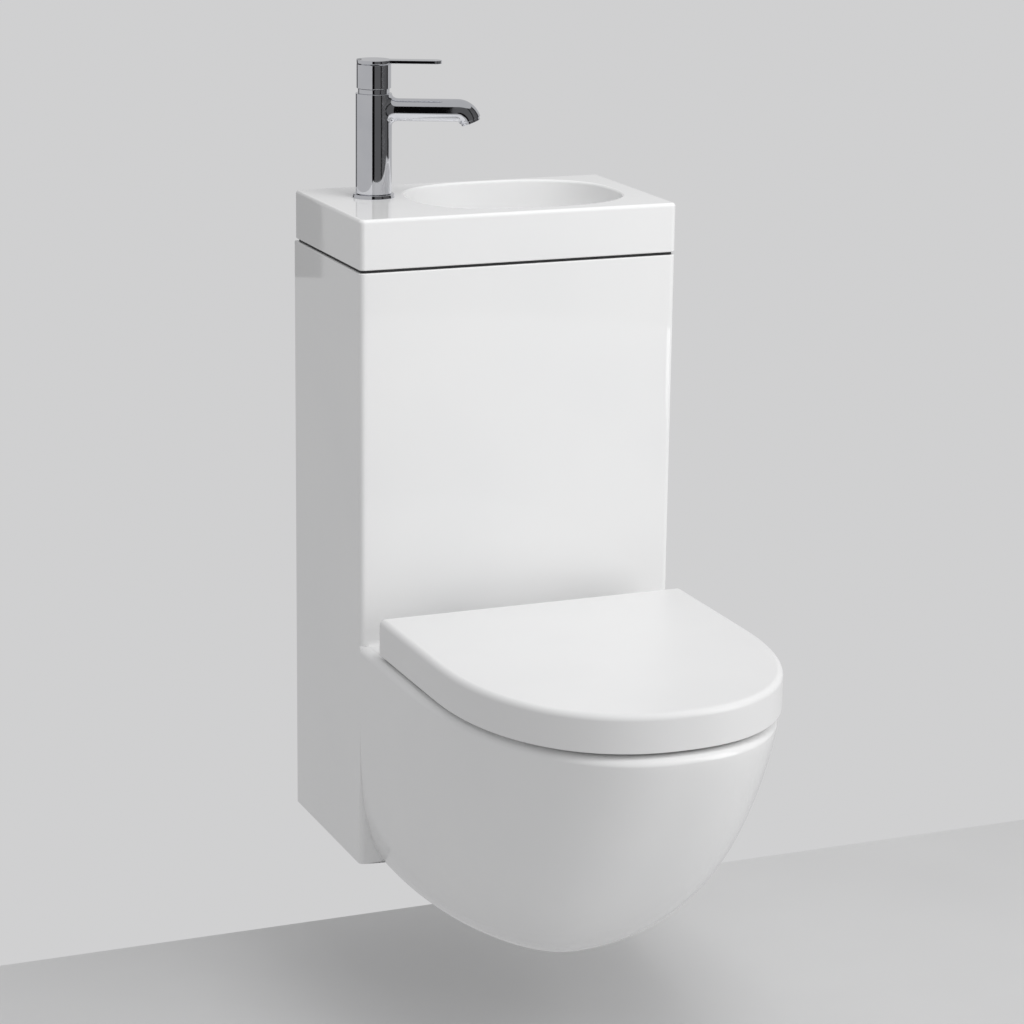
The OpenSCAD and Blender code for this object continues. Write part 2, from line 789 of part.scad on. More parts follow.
module tap_body() {
    color("silver")
    at_tap(deck_z)
        difference() {
            union() {
                translate([0, 0, foot_h])
                    cylinder(r = tap_r, h = tap_body_h - foot_h);
                translate([0, 0, -shank_l])
                    cylinder(r = shank_r, h = shank_l + foot_h + 1);
                spout_path(spout_r, 0, 0);
                translate([tap_r - 6, 0, spout_h])
                    rotate([0, 90, 0])
                        cylinder(r1 = spout_r + 4.5, r2 = spout_r - 0.4, h = 14);
            }
            translate([0, 0, tap_body_h - pocket_h])
                cylinder(r = cartridge_r + 2, h = pocket_h + 1);
            spout_path(spout_bore_r, 10, 3);
            for (s = [-1, 1])
                translate([0, s * 7, -shank_l - 1])
                    cylinder(r = 4.2, h = shank_l + tap_body_h - pocket_h + 2);
        }
}

module tap_foot_ring() {
    color("silver")
    at_tap(deck_z)
        ring(foot_r, shank_r + hand_gap, foot_h);
}

module tap_cartridge() {
    color("gainsboro")
    at_tap(tap_top_z - pocket_h)
        difference() {
            union() {
                cylinder(r = cartridge_r, h = 32);
                translate([0, 0, 30])
                    cylinder(r = cartridge_r + 1.8, h = 8);
                cylinder(r = cartridge_r + 1.8, h = 6);
            }
            translate([0, 0, 20])
                cylinder(r = stem_core_r + run_fit, h = 30);
        }
}

stem_core_r = 5;

module tap_neck_ring() {
    color("silver")
    at_tap(tap_top_z)
        ring(neck_r, stem_core_r + pass_gap, neck_h);
}

module tap_stem() {
    color("gray")
    at_tap(tap_top_z - 16)
        cylinder(r = stem_core_r, h = 16 + neck_h + pass_gap + 12);
}

module tap_cap() {
    color("silver")
    at_tap(cap_z)
        difference() {
            union() {
                cylinder(r = cap_r, h = cap_h);
                translate([-cap_r + 0.8, -2.5, cap_h - 1])
                    intersection() {
                        cube([4.2, 5, 3.8]);
                        translate([lever_pin_x + cap_r - 0.8, 10, lever_pin_z - cap_z - cap_h + 1])
                            rotate([90, 0, 0])
                                cylinder(r = 3.4, h = 20);
                    }
            }
            translate([0, 0, -1])
                cylinder(r = stem_core_r + 0.02, h = 13);
            difference() {
                translate([0, 0, -1])
                    cylinder(r = cap_r - 2.6, h = 11);
                translate([0, 0, -2])
                    cylinder(r = stem_core_r + 3, h = 14);
            }
            translate([-3.4, -3.4, cap_h - 7])
                cube([9.5, 6.8, 8]);
            translate([lever_pin_x, 10, lever_pin_z - cap_z])
                rotate([90, 0, 0])
                    cylinder(r = lever_pin_r + run_fit, h = 20);
        }
}

module tap_lever() {
    color("silver")
    at_tap(lever_z)
        difference() {
            union() {
                cylinder(r = cap_r, h = lever_t);
                translate([0, -lever_w / 2, 0])
                    cube([lever_reach - lever_w / 2, lever_w, lever_t]);
                translate([lever_reach - lever_w / 2, 0, 0])
                    cylinder(r = lever_w / 2, h = lever_t);
                translate([0, 0, -6])
                    cylinder(r = 2.5, h = 7);
            }
            translate([-cap_r - 1, -2.5 - hand_gap, -1])
                cube([6.6, 5 + 2 * hand_gap, lever_t + 2]);
            translate([lever_pin_x, 9, lever_pin_z - lever_z])
                rotate([90, 0, 0])
                    cylinder(r = lever_pin_r, h = 18);
        }
}

module tap_lever_pin() {
    color("gray")
    at_tap(lever_pin_z)
        translate([lever_pin_x, 6, 0])
            rotate([90, 0, 0])
                cylinder(r = lever_pin_r, h = 12);
}

module tap_aerator() {
    color("silver")
    at_tap(deck_z)
        spout_end()
            translate([0, 0, spout_tip])
                ring(spout_r - 1.4, spout_bore_r - 0.8, 3);
}

module tap_washer() {
    color("dimgray")
    at_tap(deck_z - basin_wall - 3)
        ring(24, shank_r + hand_gap, 3);
}

module tap_nut() {
    color("gold")
    at_tap(deck_z - basin_wall - 3 - 10)
        hex_nut(44, shank_r + 0.02, 10);
}

// Basin waste and trap
module at_waste(zz) {
    translate([waste_x, -waste_y, zz])
        children();
}

plug_hub_h = 18;
plug_stem_r = 4;
plug_rise = 8;

module waste_flange() {
    color("silver")
    at_waste(bowl_floor_z) {
        difference() {
            union() {
                cylinder(r = flange_r, h = 3);
                translate([0, 0, trap_top_z - bowl_floor_z])
                    cylinder(r = tail_r, h = bowl_floor_z - trap_top_z + 1);
            }
            translate([0, 0, -bowl_shell - 41])
                cylinder(r = tail_bore_r, h = bowl_shell + 50);
            translate([0, 0, 1.5])
                cylinder(r1 = tail_bore_r, r2 = flange_r - 4, h = 1.6);
        }
        difference() {
            translate([0, 0, -plug_hub_h - 3])
                intersection() {
                    union() {
                        cylinder(r = plug_stem_r + 3, h = 8);
                        translate([-tail_bore_r - 1, -1.5, 0])
                            cube([2 * tail_bore_r + 2, 3, 5]);
                        translate([-1.5, -tail_bore_r - 1, 0])
                            cube([3, 2 * tail_bore_r + 2, 5]);
                    }
                    cylinder(r = tail_bore_r + 1, h = 9);
                }
            translate([0, 0, -plug_hub_h - 4])
                cylinder(r = plug_stem_r + run_fit, h = 10);
        }
    }
}

module waste_gasket() {
    color("dimgray")
    at_waste(bowl_floor_z - bowl_shell - 3)
        ring(waste_hole_r + 7, tail_r + hand_gap, 3);
}

module waste_nut() {
    color("silver")
    at_waste(bowl_floor_z - bowl_shell - 12)
        hex_nut(52, tail_r + 0.02, 9);
}

module waste_plug() {
    color("silver")
    at_waste(bowl_floor_z + 3 + plug_rise) {
        cylinder(r = flange_r - 2, h = 2.5);
        translate([0, 0, 2.5])
            cylinder(r1 = flange_r - 2, r2 = flange_r - 9, h = 1.5);
        translate([0, 0, -plug_rise - plug_hub_h - 2])
            cylinder(r = plug_stem_r, h = plug_rise + plug_hub_h + 3);
    }
}

module trap_nut() {
    color("whitesmoke")
    at_waste(trap_top_z - 8)
        difference() {
            cylinder(r = tail_r + 5.5, h = 18);
            translate([0, 0, 8])
                cylinder(r = tail_r + hand_gap, h = 11);
            translate([0, 0, -1])
                cylinder(r = tail_r + 2.2, h = 9.01);
            for (a = [0 : 30 : 330])
                rotate([0, 0, a])
                    translate([tail_r + 6.5, 0, -1])
                        cylinder(r = 2, h = 20);
        }
}

module trap_bottle() {
    color("whitesmoke")
    at_waste(bottle_z)
        difference() {
            union() {
                cylinder(r = bottle_r, h = bottle_h - 6);
                translate([0, 0, bottle_h - 6])
                    cylinder(r1 = bottle_r, r2 = tail_r + 2, h = 6);
                translate([0, 0, bottle_h - 1])
                    cylinder(r = tail_r + 2, h = trap_top_z - bottle_top_z + 1);
                translate([0, 0, pipe_z - bottle_z])
                    rotate([-90, 0, 0])
                        cylinder(r = waste_pipe_r + 3, h = bottle_r + 14);
            }
            difference() {
                translate([0, 0, -1])
                    cylinder(r = bottle_r - 2.5, h = bottle_h - 5);
                translate([0, 0, -14])
                    cylinder(r = tail_bore_r + 2, h = bottle_h + 10);
            }
            translate([0, 0, -15])
                cylinder(r = tail_bore_r, h = bottle_h + 60);
            translate([0, bottle_r - 6, pipe_z - bottle_z])
                rotate([-90, 0, 0])
                    cylinder(r = waste_pipe_r - 1, h = 40);
            translate([0, bottle_r + 2, pipe_z - bottle_z])
                rotate([-90, 0, 0])
                    cylinder(r = waste_pipe_r + 0.1, h = 40);
        }
}

module trap_cup() {
    color("whitesmoke")
    at_waste(bottle_z - 20)
        difference() {
            cylinder(r = bottle_r + 2.5, h = 31);
            translate([0, 0, 20])
                cylinder(r = bottle_r + hand_gap, h = 12);
            translate([0, 0, 3])
                cylinder(r = bottle_r - 2.5, h = 40);
            for (a = [0 : 30 : 330])
                rotate([0, 0, a])
                    translate([bottle_r + 4, 0, -1])
                        cylinder(r = 2.6, h = 22);
        }
}

module trap_pipe() {
    color("whitesmoke")
    translate([waste_x, 0, pipe_z])
        rotate([90, 0, 0])
            difference() {
                union() {
                    cylinder(r = waste_pipe_r, h = waste_y - bottle_r - 2);
                    translate([0, 0, pipe_free_l])
                        cylinder(r = waste_pipe_r + 1.6, h = 3);
                }
                translate([0, 0, -1])
                    cylinder(r = waste_pipe_bore_r, h = waste_y);
            }
}

module trap_pipe_nut() {
    color("whitesmoke")
    at_waste(pipe_z)
        translate([0, bottle_r + 5, 0])
            rotate([-90, 0, 0])
                difference() {
                    cylinder(r = waste_pipe_r + 7.5, h = 16);
                    translate([0, 0, -1])
                        cylinder(r = waste_pipe_r + 3 + hand_gap, h = 10);
                    cylinder(r = waste_pipe_r + hand_gap, h = 20);
                    for (a = [0 : 36 : 324])
                        rotate([0, 0, a])
                            translate([waste_pipe_r + 8.5, 0, -1])
                                cylinder(r = 2, h = 18);
                }
}

// Cistern
module cistern_tank() {
    color("lightgray")
    difference() {
        union() {
            translate([0, tank_y, z(tank_z)])
                linear_extrude(tank_h)
                    round_rect(tank_w, tank_d, 14);
            translate([0, tank_y, z(tank_z) + tank_h - 5])
                linear_extrude(5)
                    round_rect(tank_w + 8, tank_d + 4, 16);
        }
        translate([0, tank_y, z(tank_z) + tank_wall])
            linear_extrude(tank_h)
                round_rect(tank_w - 2 * tank_wall, tank_d - 2 * tank_wall, 14 - tank_wall);
        translate([0, -valve_y, z(tank_z) - 1])
            cylinder(r = valve_tail_r + hand_gap, h = 10);
        translate([fill_x, -valve_y, z(tank_z) - 1])
            cylinder(r = fill_collar_r + hand_gap, h = 10);
    }
}

module cistern_lid() {
    color("lightgray")
    difference() {
        union() {
            translate([0, tank_y, z(tank_z) + tank_h])
                linear_extrude(4)
                    round_rect(tank_w + 8, tank_d + 4, 16);
            translate([0, tank_y, z(tank_z) + tank_h - 6])
                linear_extrude(7)
                    round_rect(tank_w - 2 * tank_wall - 1, tank_d - 2 * tank_wall - 1, 10);
        }
        translate([0, tank_y, z(tank_z) + tank_h - 7])
            linear_extrude(8)
                round_rect(tank_w - 2 * tank_wall - 7, tank_d - 2 * tank_wall - 7, 8);
    }
}

fill_floor_z = z(tank_z) + tank_wall;
fill_head_h = tank_h - 62;
float_l = 0.3 * tank_h;

module fill_valve() {
    color("white")
    translate([fill_x, -valve_y, 0])
        difference() {
            union() {
                translate([0, 0, z(tank_z) - 11 - fill_thread_l])
                    cylinder(r = fill_shank_r, h = fill_thread_l + 1);
                translate([0, 0, z(tank_z) - 11])
                    cylinder(r = fill_collar_r, h = 12 + tank_wall);
                translate([0, 0, fill_floor_z])
                    cylinder(r = 20, h = 3);
                translate([0, 0, fill_floor_z])
                    cylinder(r = 12, h = fill_head_h + 13);
                translate([0, 0, fill_floor_z + fill_head_h])
                    cylinder(r = 22, h = 30);
                translate([0, 0, fill_floor_z + fill_head_h + 30])
                    cylinder(r1 = 22, r2 = 16, h = 5);
                translate([0, -5, fill_floor_z + fill_head_h + 6])
                    cube([48, 10, 8]);
            }
            translate([0, 0, z(tank_z) - 12 - fill_thread_l])
                cylinder(r = 6, h = fill_head_h + 38);
        }
}

module fill_float() {
    color("whitesmoke")
    translate([fill_x, -valve_y, fill_floor_z + 3 + hand_gap])
        difference() {
            union() {
                cylinder(r = float_r, h = float_l);
                translate([0, 0, float_l])
                    cylinder(r1 = float_r, r2 = float_r - 5, h = 5);
            }
            translate([0, 0, -1])
                cylinder(r = 12 + pass_gap, h = float_l + 20);
        }
}

module fill_nut() {
    color("whitesmoke")
    translate([fill_x, -valve_y, z(tank_z) - 9])
        hex_nut(32, fill_collar_r + 0.02, 9);
}

basket_r = 34;
piston_r = 11;
piston_lift = 25;
basket_h = tank_h - 78;

module flush_valve() {
    color("white")
    translate([0, -valve_y, fill_floor_z])
        difference() {
            union() {
                cylinder(r = basket_r + 6, h = 4);
                translate([0, 0, -22 - tank_wall])
                    cylinder(r = valve_tail_r, h = 24 + tank_wall);
                cylinder(r = basket_r, h = basket_h);
            }
            translate([0, 0, 4])
                cylinder(r = basket_r - 3, h = basket_h - 7);
            translate([0, 0, -40])
                cylinder(r = flush_pipe_r + 0.1, h = 50);
            translate([0, 0, 10])
                cylinder(r = piston_r + run_fit, h = basket_h);
            for (a = [0, 90])
                rotate([0, 0, a])
                    translate([-basket_r - 5, -14, 10])
                        cube([2 * basket_r + 10, 28, basket_h - 30]);
        }
}

module flush_valve_nut() {
    color("white")
    translate([0, -valve_y, z(tank_z) - 11])
        hex_nut(72, valve_tail_r + 0.02, 11);
}

module flush_seal() {
    color("dimgray")
    translate([0, -valve_y, fill_floor_z + 4])
        ring(26, piston_r + 0.02, 2.5);
}

module flush_piston() {
    color("lightblue")
    translate([0, -valve_y, fill_floor_z + 4])
        difference() {
            union() {
                cylinder(r = piston_r, h = tank_h - 38);
                translate([0, 0, 2.5])
                    cylinder(r = 25, h = 3.5);
                translate([0, 0, 6])
                    cylinder(r1 = 20, r2 = piston_r, h = 8);
            }
            translate([0, 0, -1])
                cylinder(r = piston_r - 2, h = tank_h);
        }
}

module flush_bend() {
    color("lightgray")
    difference() {
        flush_tube(flush_pipe_r, 0);
        flush_tube(flush_bore_r, 1);
    }
}

module flush_tube(r, extra) {
    top_h = tank_z + tank_wall - 2 + extra;
    turn_h = inlet_h + flush_bend_r;
    turn = [for (a = [0 : 15 : 90])
        [valve_y + flush_bend_r * (1 - cos(a)), turn_h - flush_bend_r * sin(a), -90 - a]];
    path = concat(
        [[valve_y, top_h, -90]], turn,
        [[valve_y + flush_bend_r + 85 + extra, inlet_h, -180]]
    );
    loft([for (p = path) tube_ring(p[0], p[1], p[2], r, 24)]);
}

module flush_cone_seal() {
    color("dimgray")
    difference() {
        union() {
            to_front(0, -front_in + 9, z(inlet_h), inlet_bore_r + 6, 3);
            to_front(0, -front_in + 6, z(inlet_h), inlet_bore_r - 0.1, 22);
        }
        to_front(0, -front_in + 20, z(inlet_h), flush_pipe_r + 0.1, 60);
    }
}

// Flush buttons
// Places children on the column's right side, with their Z pointing out of it and X along Y
module at_button(y) {
    translate([column_w / 2, -y, z(button_h)])
        rotate([90, 0, 90])
            children();
}

module button_frame() {
    color("silver")
    at_button(button_y)
        difference() {
            union() {
                linear_extrude(frame_t)
                    round_rect(frame_l, frame_w, 5);
                translate([0, 0, -column_wall])
                    linear_extrude(column_wall + 0.5)
                        round_rect(frame_l - 12 - 2 * hand_gap, frame_w - 12 - 2 * hand_gap, 3.5);
            }
            translate([0, 0, -column_wall - 1])
                linear_extrude(column_wall + frame_t + 2)
                    round_rect(button_span + 2 * hand_gap, button_w + 2 * hand_gap, 2.5);
        }
}

module button(y, l) {
    at_button(y) {
        difference() {
            translate([0, 0, -2])
                soft_slab(l, button_w, frame_t + 2.5, 2.2, 1);
            translate([0, 0, -3])
                linear_extrude(3)
                    round_rect(l - 4, button_w - 4, 1.5);
        }
        translate([0, 0, -22])
            cylinder(r = stem_r, h = 23);
    }
}

module button_large() {
    color("silver")
    button(large_y, button_l);
}

module button_small() {
    color("silver")
    button(small_y, button_s);
}

module button_pumps() {
    color("dimgray")
    at_button(button_y)
        difference() {
            union() {
                for (y = [large_y, small_y])
                    translate([button_y - y, 0, -column_wall - 24]) {
                        cylinder(r = stem_r + 3.5, h = 22);
                        translate([0, 0, -12])
                            cylinder(r = 3, h = 13);
                    }
                translate([0, 0, -column_wall - 3])
                    linear_extrude(3)
                        round_rect(frame_l + 4, frame_w, 4);
            }
            for (y = [large_y, small_y])
                translate([button_y - y, 0, -column_wall - 20]) {
                    cylinder(r = stem_r + run_fit, h = 30);
                    translate([0, 0, -20])
                        cylinder(r = 1.6, h = 22);
                }
        }
}

// Seat and lid
function lid_ring(inset, zz, m) =
    d_ring(lid_w - inset, -lid_mid, -lid_reach + inset, 2.27, -lid_back - inset, zz, m, 5 - inset * 0.6);
function lid_pts(inset, m) = [for (p = lid_ring(inset, 0, m)) [p[0], p[1]]];

seat_play = 1.6;
seat_inset = lid_wall + seat_play;
seat_back = hinge_y + 16;

function seat_ring(inset, zz, m) = d_ring(
    lid_w - seat_inset - inset, -lid_mid, -lid_reach + seat_inset + inset, 2.27,
    -seat_back - inset, zz, m, 13 - inset * 0.4);

module hinge_notches(z0, h, y0, l) {
    for (s = [-1, 1])
        translate([s * hinge_pitch / 2 - notch_w / 2, y0, z0])
            cube([notch_w, l, h]);
}

lug_w = 15;
base_w = 24;
side_gap = 0.4;
notch_w = base_w + 2 * lug_w + 6;

// A lug of the lid or the seat round a hinge pin, centred at x
module hinge_lug(x) {
    translate([x, -hinge_y, hinge_z])
        rotate([0, 90, 0])
            cylinder(r = barrel_r, h = lug_w, center = true);
}

module pin_bores(r) {
    for (s = [-1, 1])
        translate([s * hinge_pitch / 2, -hinge_y, hinge_z])
            rotate([0, 90, 0])
                cylinder(r = r, h = notch_w + 30, center = true);
}

lug_step = base_w / 2 + side_gap + lug_w / 2;

module lid() {
    top = lid_z + lid_h;
    edge = [for (a = [0 : 22.5 : 90]) [top - lid_edge_r + lid_edge_r * sin(a), lid_edge_r * (1 - cos(a))]];
    color("white")
    difference() {
        union() {
            difference() {
                loft(concat(
                    [lid_ring(0.8, lid_z, 56), lid_ring(0, lid_z + 1, 56)],
                    [for (e = edge) lid_ring(e[1], e[0], 56)]
                ));
                translate([0, 0, lid_z - 1])
                    linear_extrude(lid_h - lid_wall + 1)
                        polygon(lid_pts(lid_wall, 40));
                hinge_notches(lid_z - 1, hinge_z + 11 - lid_z, -lid_back - lid_wall - 0.1, 12);
            }
            for (s = [-1, 1]) {
                hinge_lug(s * (hinge_pitch / 2 - lug_step));
                translate([s * (hinge_pitch / 2 - lug_step) - lug_w / 2, -hinge_y - 7, hinge_z])
                    cube([lug_w, 12, top - lid_wall - hinge_z + 0.5]);
            }
        }
        pin_bores(hinge_pin_r + run_fit);
    }
}

module lid_buffers() {
    color("dimgray")
    for (s = [-1, 1])
        translate([s * lid_w * 0.67, -lid_reach + 106, seat_z + seat_t + pass_gap])
            cylinder(r = 6, h = lid_z + lid_h - lid_wall - seat_z - seat_t - pass_gap);
}

module seat() {
    top = seat_z + seat_t;
    edge = [for (a = [0 : 30 : 90]) [top - 7 + 7 * sin(a), 7 * (1 - cos(a))]];
    color("white")
    difference() {
        union() {
            loft(concat(
                [seat_ring(2, seat_z, 44), seat_ring(0, seat_z + 2, 44)],
                [for (e = edge) seat_ring(e[1], e[0], 44)]
            ));
            for (s = [-1, 1]) {
                hinge_lug(s * (hinge_pitch / 2 + lug_step));
                translate([s * (hinge_pitch / 2 + lug_step) - lug_w / 2, -seat_back - 4, hinge_z - barrel_r + 1])
                    cube([lug_w, seat_back + 4 - hinge_y, barrel_r]);
            }
        }
        // The opening, flared at the top
        loft([
            oval_ring(0, -mouth_y, seat_hole_a + 3, seat_hole_b + 3, 2.1, seat_z - 0.5, 44),
            oval_ring(0, -mouth_y, seat_hole_a, seat_hole_b, 2.1, seat_z + 3, 44),
            oval_ring(0, -mouth_y, seat_hole_a, seat_hole_b, 2.1, top - 9, 44),
            oval_ring(0, -mouth_y, seat_hole_a + 3, seat_hole_b + 3, 2.1, top - 3, 44),
            oval_ring(0, -mouth_y, seat_hole_a + 10, seat_hole_b + 10, 2.1, top + 0.5, 44)
        ]);
        pin_bores(hinge_pin_r + run_fit);
    }
}

module seat_buffers() {
    color("dimgray")
    for (s = [-1, 1])
        for (p = [[lid_w - 30, lid_mid - 70], [lid_w / 2, lid_reach - 55]])
            translate([s * p[0], -p[1], rim_z])
                cylinder(r = 7, h = seat_lift);
}

// Hinges
module hinge_bases() {
    color("silver")
    for (s = [-1, 1])
        translate([s * hinge_pitch / 2, 0, 0])
            difference() {
                union() {
                    translate([-base_w / 2, -hinge_y - barrel_r, rim_z])
                        cube([base_w, 34, 3.5]);
                    translate([-base_w / 2, -hinge_y - barrel_r + 2, rim_z])
                        cube([base_w, 2 * barrel_r - 4, hinge_h]);
                    translate([0, -hinge_y, hinge_z])
                        rotate([0, 90, 0])
                            cylinder(r = barrel_r, h = base_w, center = true);
                }
                translate([0, -hinge_y, hinge_z])
                    rotate([0, 90, 0])
                        cylinder(r = hinge_pin_r + 0.02, h = base_w + 2, center = true);
                translate([0, -stud_y, rim_z - 1])
                    cylinder(r = stud_r + 0.02, h = 6);
            }
}

module hinge_pins() {
    color("gray")
    for (s = [-1, 1])
        translate([s * hinge_pitch / 2, -hinge_y, hinge_z])
            rotate([0, 90, 0])
                cylinder(r = hinge_pin_r, h = base_w + 2 * lug_w + 2, center = true);
}

module hinge_studs() {
    color("silver")
    for (s = [-1, 1])
        translate([s * hinge_pitch / 2, -stud_y, rim_z + 3.5])
            mirror([0, 0, 1])
                cylinder(r = stud_r, h = 3.5 + pan_wall + 26);
}

module hinge_washers() {
    color("dimgray")
    for (s = [-1, 1])
        translate([s * hinge_pitch / 2, -stud_y, rim_z - pan_wall - 3])
            ring(12, stud_r + 0.2, 3);
}

module hinge_nuts() {
    color("gold")
    for (s = [-1, 1])
        translate([s * hinge_pitch / 2, -stud_y, rim_z - pan_wall - 3 - 10])
            difference() {
                union() {
                    cylinder(r = 9, h = 10);
                    translate([-17, -2, 0])
                        cube([34, 4, 8]);
                }
                translate([0, 0, -1])
                    cylinder(r = stud_r + 0.02, h = 12);
            }
}

// Wall fixings
sleeve_r = 14;
sleeve_bore_r = 6.5;

module wall_sleeves() {
    color("whitesmoke")
    for (s = [-1, 1])
        difference() {
            union() {
                to_front(s * fixing_pitch / 2, 0, 0, sleeve_r, web_gap + web_t);
                to_front(s * fixing_pitch / 2, -web_gap - web_t, 0, sleeve_r + 6, 4);
            }
            to_front(s * fixing_pitch / 2, 1, 0, sleeve_bore_r, 100);
        }
}

module wall_washers() {
    color("silver")
    for (s = [-1, 1])
        difference() {
            to_front(s * fixing_pitch / 2, -web_gap - web_t - 4, 0, 14, 2.5);
            to_front(s * fixing_pitch / 2, 0, 0, sleeve_bore_r, 100);
        }
}

module wall_nuts() {
    color("silver")
    for (s = [-1, 1])
        translate([s * fixing_pitch / 2, -web_gap - web_t - 6.5, 0])
            rotate([90, 0, 0])
                hex_nut(19, sleeve_bore_r, 10);
}

bracket_x = wall_in - 68;
bracket_t = 3;
rib_top_h = rib_h + rib_t;

module top_brackets() {
    color("silver")
    for (s = [-1, 1])
        difference() {
            translate([s * bracket_x - 15, 0, 0]) {
                translate([0, -bracket_t, z(rib_top_h - 30)])
                    cube([30, bracket_t, 62]);
                translate([0, -web_gap - web_t - bracket_t, z(rib_top_h)])
                    cube([30, web_gap + web_t + bracket_t, bracket_t]);
                translate([0, -web_gap - web_t - bracket_t, z(rib_top_h - 12)])
                    cube([30, bracket_t, 12 + bracket_t]);
            }
            to_front(s * bracket_x, 1, z(rib_top_h + 18), 3.5, 10);
        }
}

module top_screws() {
    color("gray")
    for (s = [-1, 1]) {
        to_front(s * bracket_x, -0.2, z(rib_top_h + 18), 3, 4);
        translate([s * bracket_x, -bracket_t, z(rib_top_h + 18)])
            rotate([90, 0, 0])
                cylinder(r1 = 6.5, r2 = 4, h = 3.2);
    }
}

casting_column();
casting_rim();
casting_pan();
casting_bowl();
casting_trapway();
casting_outlet();
basin();
basin_gasket();
basin_tie_bolts();
basin_tie_washers();
tap_body();
tap_foot_ring();
tap_neck_ring();
tap_cartridge();
tap_aerator();
tap_washer();
tap_nut();
tap_stem();
tap_cap();
tap_lever();
tap_lever_pin();
waste_flange();
waste_gasket();
waste_nut();
waste_plug();
trap_nut();
trap_bottle();
trap_cup();
trap_pipe_nut();
trap_pipe();
cistern_tank();
cistern_lid();
fill_valve();
fill_float();
fill_nut();
flush_valve();
flush_valve_nut();
flush_piston();
flush_seal();
flush_bend();
flush_cone_seal();
button_frame();
button_large();
button_small();
button_pumps();
seat();
seat_buffers();
lid();
lid_buffers();
hinge_bases();
hinge_pins();
hinge_studs();
hinge_washers();
hinge_nuts();
wall_sleeves();
wall_washers();
wall_nuts();
top_brackets();
top_screws();
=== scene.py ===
import bpy
import json
from math import asin, copysign, cos, degrees, pi, radians, sin, sqrt, tan
from mathutils import Matrix, Vector


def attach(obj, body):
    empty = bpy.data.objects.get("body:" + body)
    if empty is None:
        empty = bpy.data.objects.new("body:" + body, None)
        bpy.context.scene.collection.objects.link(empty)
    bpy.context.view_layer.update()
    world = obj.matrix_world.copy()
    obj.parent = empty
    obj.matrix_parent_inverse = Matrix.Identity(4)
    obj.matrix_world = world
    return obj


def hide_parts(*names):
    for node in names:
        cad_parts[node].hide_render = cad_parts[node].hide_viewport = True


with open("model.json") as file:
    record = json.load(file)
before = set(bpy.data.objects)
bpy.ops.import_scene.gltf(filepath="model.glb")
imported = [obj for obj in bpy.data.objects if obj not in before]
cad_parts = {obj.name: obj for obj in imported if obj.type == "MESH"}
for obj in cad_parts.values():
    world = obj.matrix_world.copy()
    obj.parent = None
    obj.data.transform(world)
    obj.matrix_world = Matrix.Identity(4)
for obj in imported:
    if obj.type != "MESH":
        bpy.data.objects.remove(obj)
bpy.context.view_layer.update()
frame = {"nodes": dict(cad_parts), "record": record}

# Sizes are in millimetres, and the studio's in metres. What the visible shapes share with the solids has
# the CAD source's values. The casting's heights are above its column's foot, and z() puts them above the
# wall fixings, where the frame's origin lies.
MM = 0.001
FIXING_H = 170.0
COLUMN_W = 360.0
COLUMN_D = 212.0
COLUMN_H = 650.0
COLUMN_WALL = 12.0
CORNER_R = 6.0
DECK_H = 706.0
FLOOR_H = -150.0
HALF_W = COLUMN_W / 2
WALL_IN = HALF_W - COLUMN_WALL
FRONT_IN = COLUMN_D - COLUMN_WALL
TIE_X = 148.0
TIE_Y = 28.0
TIE_HOLE_R = 4.8
TIE_BORE_R = 4.06
TIE_BOSS_R = 11.0
SIDES = (-1, 1)
# Edges that turn by more degrees than this stay sharp
CREASE = 32.0
RING_CREASE = 35.0
EASED_CREASE = 30.0
# Points that are closer together than this, in metres, become one
SAME_POINT = 0.000002
SAME_COPIED_POINT = 0.00001


def z(h):
    """A height above the column's foot, given above the wall fixings."""
    return h - FIXING_H


RIM_H = 248.0
RIM_Z = z(RIM_H)
DECK_Z = z(DECK_H)


# Modelling helpers
def nothing_selected():
    if bpy.context.object and bpy.context.object.mode != "OBJECT":
        bpy.ops.object.mode_set(mode="OBJECT")
    bpy.ops.object.select_all(action="DESELECT")


def take(piece):
    nothing_selected()
    piece.select_set(True)
    bpy.context.view_layer.objects.active = piece
    return piece


def skin(name, rings, ends=True, turn=None):
    """A wall through rings of (x, y, z) points in mm, made from a grid that is drawn onto them and closed."""
    m = len(rings[0])
    nothing_selected()
    bpy.ops.mesh.primitive_grid_add(x_subdivisions=m, y_subdivisions=len(rings) - 1, size=1.0)
    piece = bpy.context.object
    piece.name = name
    co = []
    for ring in rings:
        for i in range(m + 1):
            p = ring[i % m]
            if turn:
                p = turn(p)
            co += [p[0] * MM, p[1] * MM, p[2] * MM]
    piece.data.vertices.foreach_set("co", co)
    bpy.ops.object.mode_set(mode="EDIT")
    bpy.ops.mesh.select_all(action="SELECT")
    bpy.ops.mesh.remove_doubles(threshold=SAME_POINT)
    if ends:
        bpy.ops.mesh.select_all(action="DESELECT")
        bpy.ops.mesh.select_mode(type="EDGE")
        bpy.ops.mesh.select_non_manifold()
        bpy.ops.mesh.fill_holes(sides=0)
    bpy.ops.mesh.select_all(action="SELECT")
    bpy.ops.mesh.normals_make_consistent(inside=False)
    bpy.ops.object.mode_set(mode="OBJECT")
    return piece


def circle(r, zz, m):
    return [(r * cos(2 * pi * i / m), r * sin(2 * pi * i / m), zz) for i in range(m)]


def turned(name, profile, m, turn, hollow=False):
    """A piece turned about Z from a profile of (radius, height) points in mm."""
    if hollow:
        profile = profile + profile[:1]
    return skin(name, [circle(r, h, m) for r, h in profile], ends=not hollow, turn=turn)


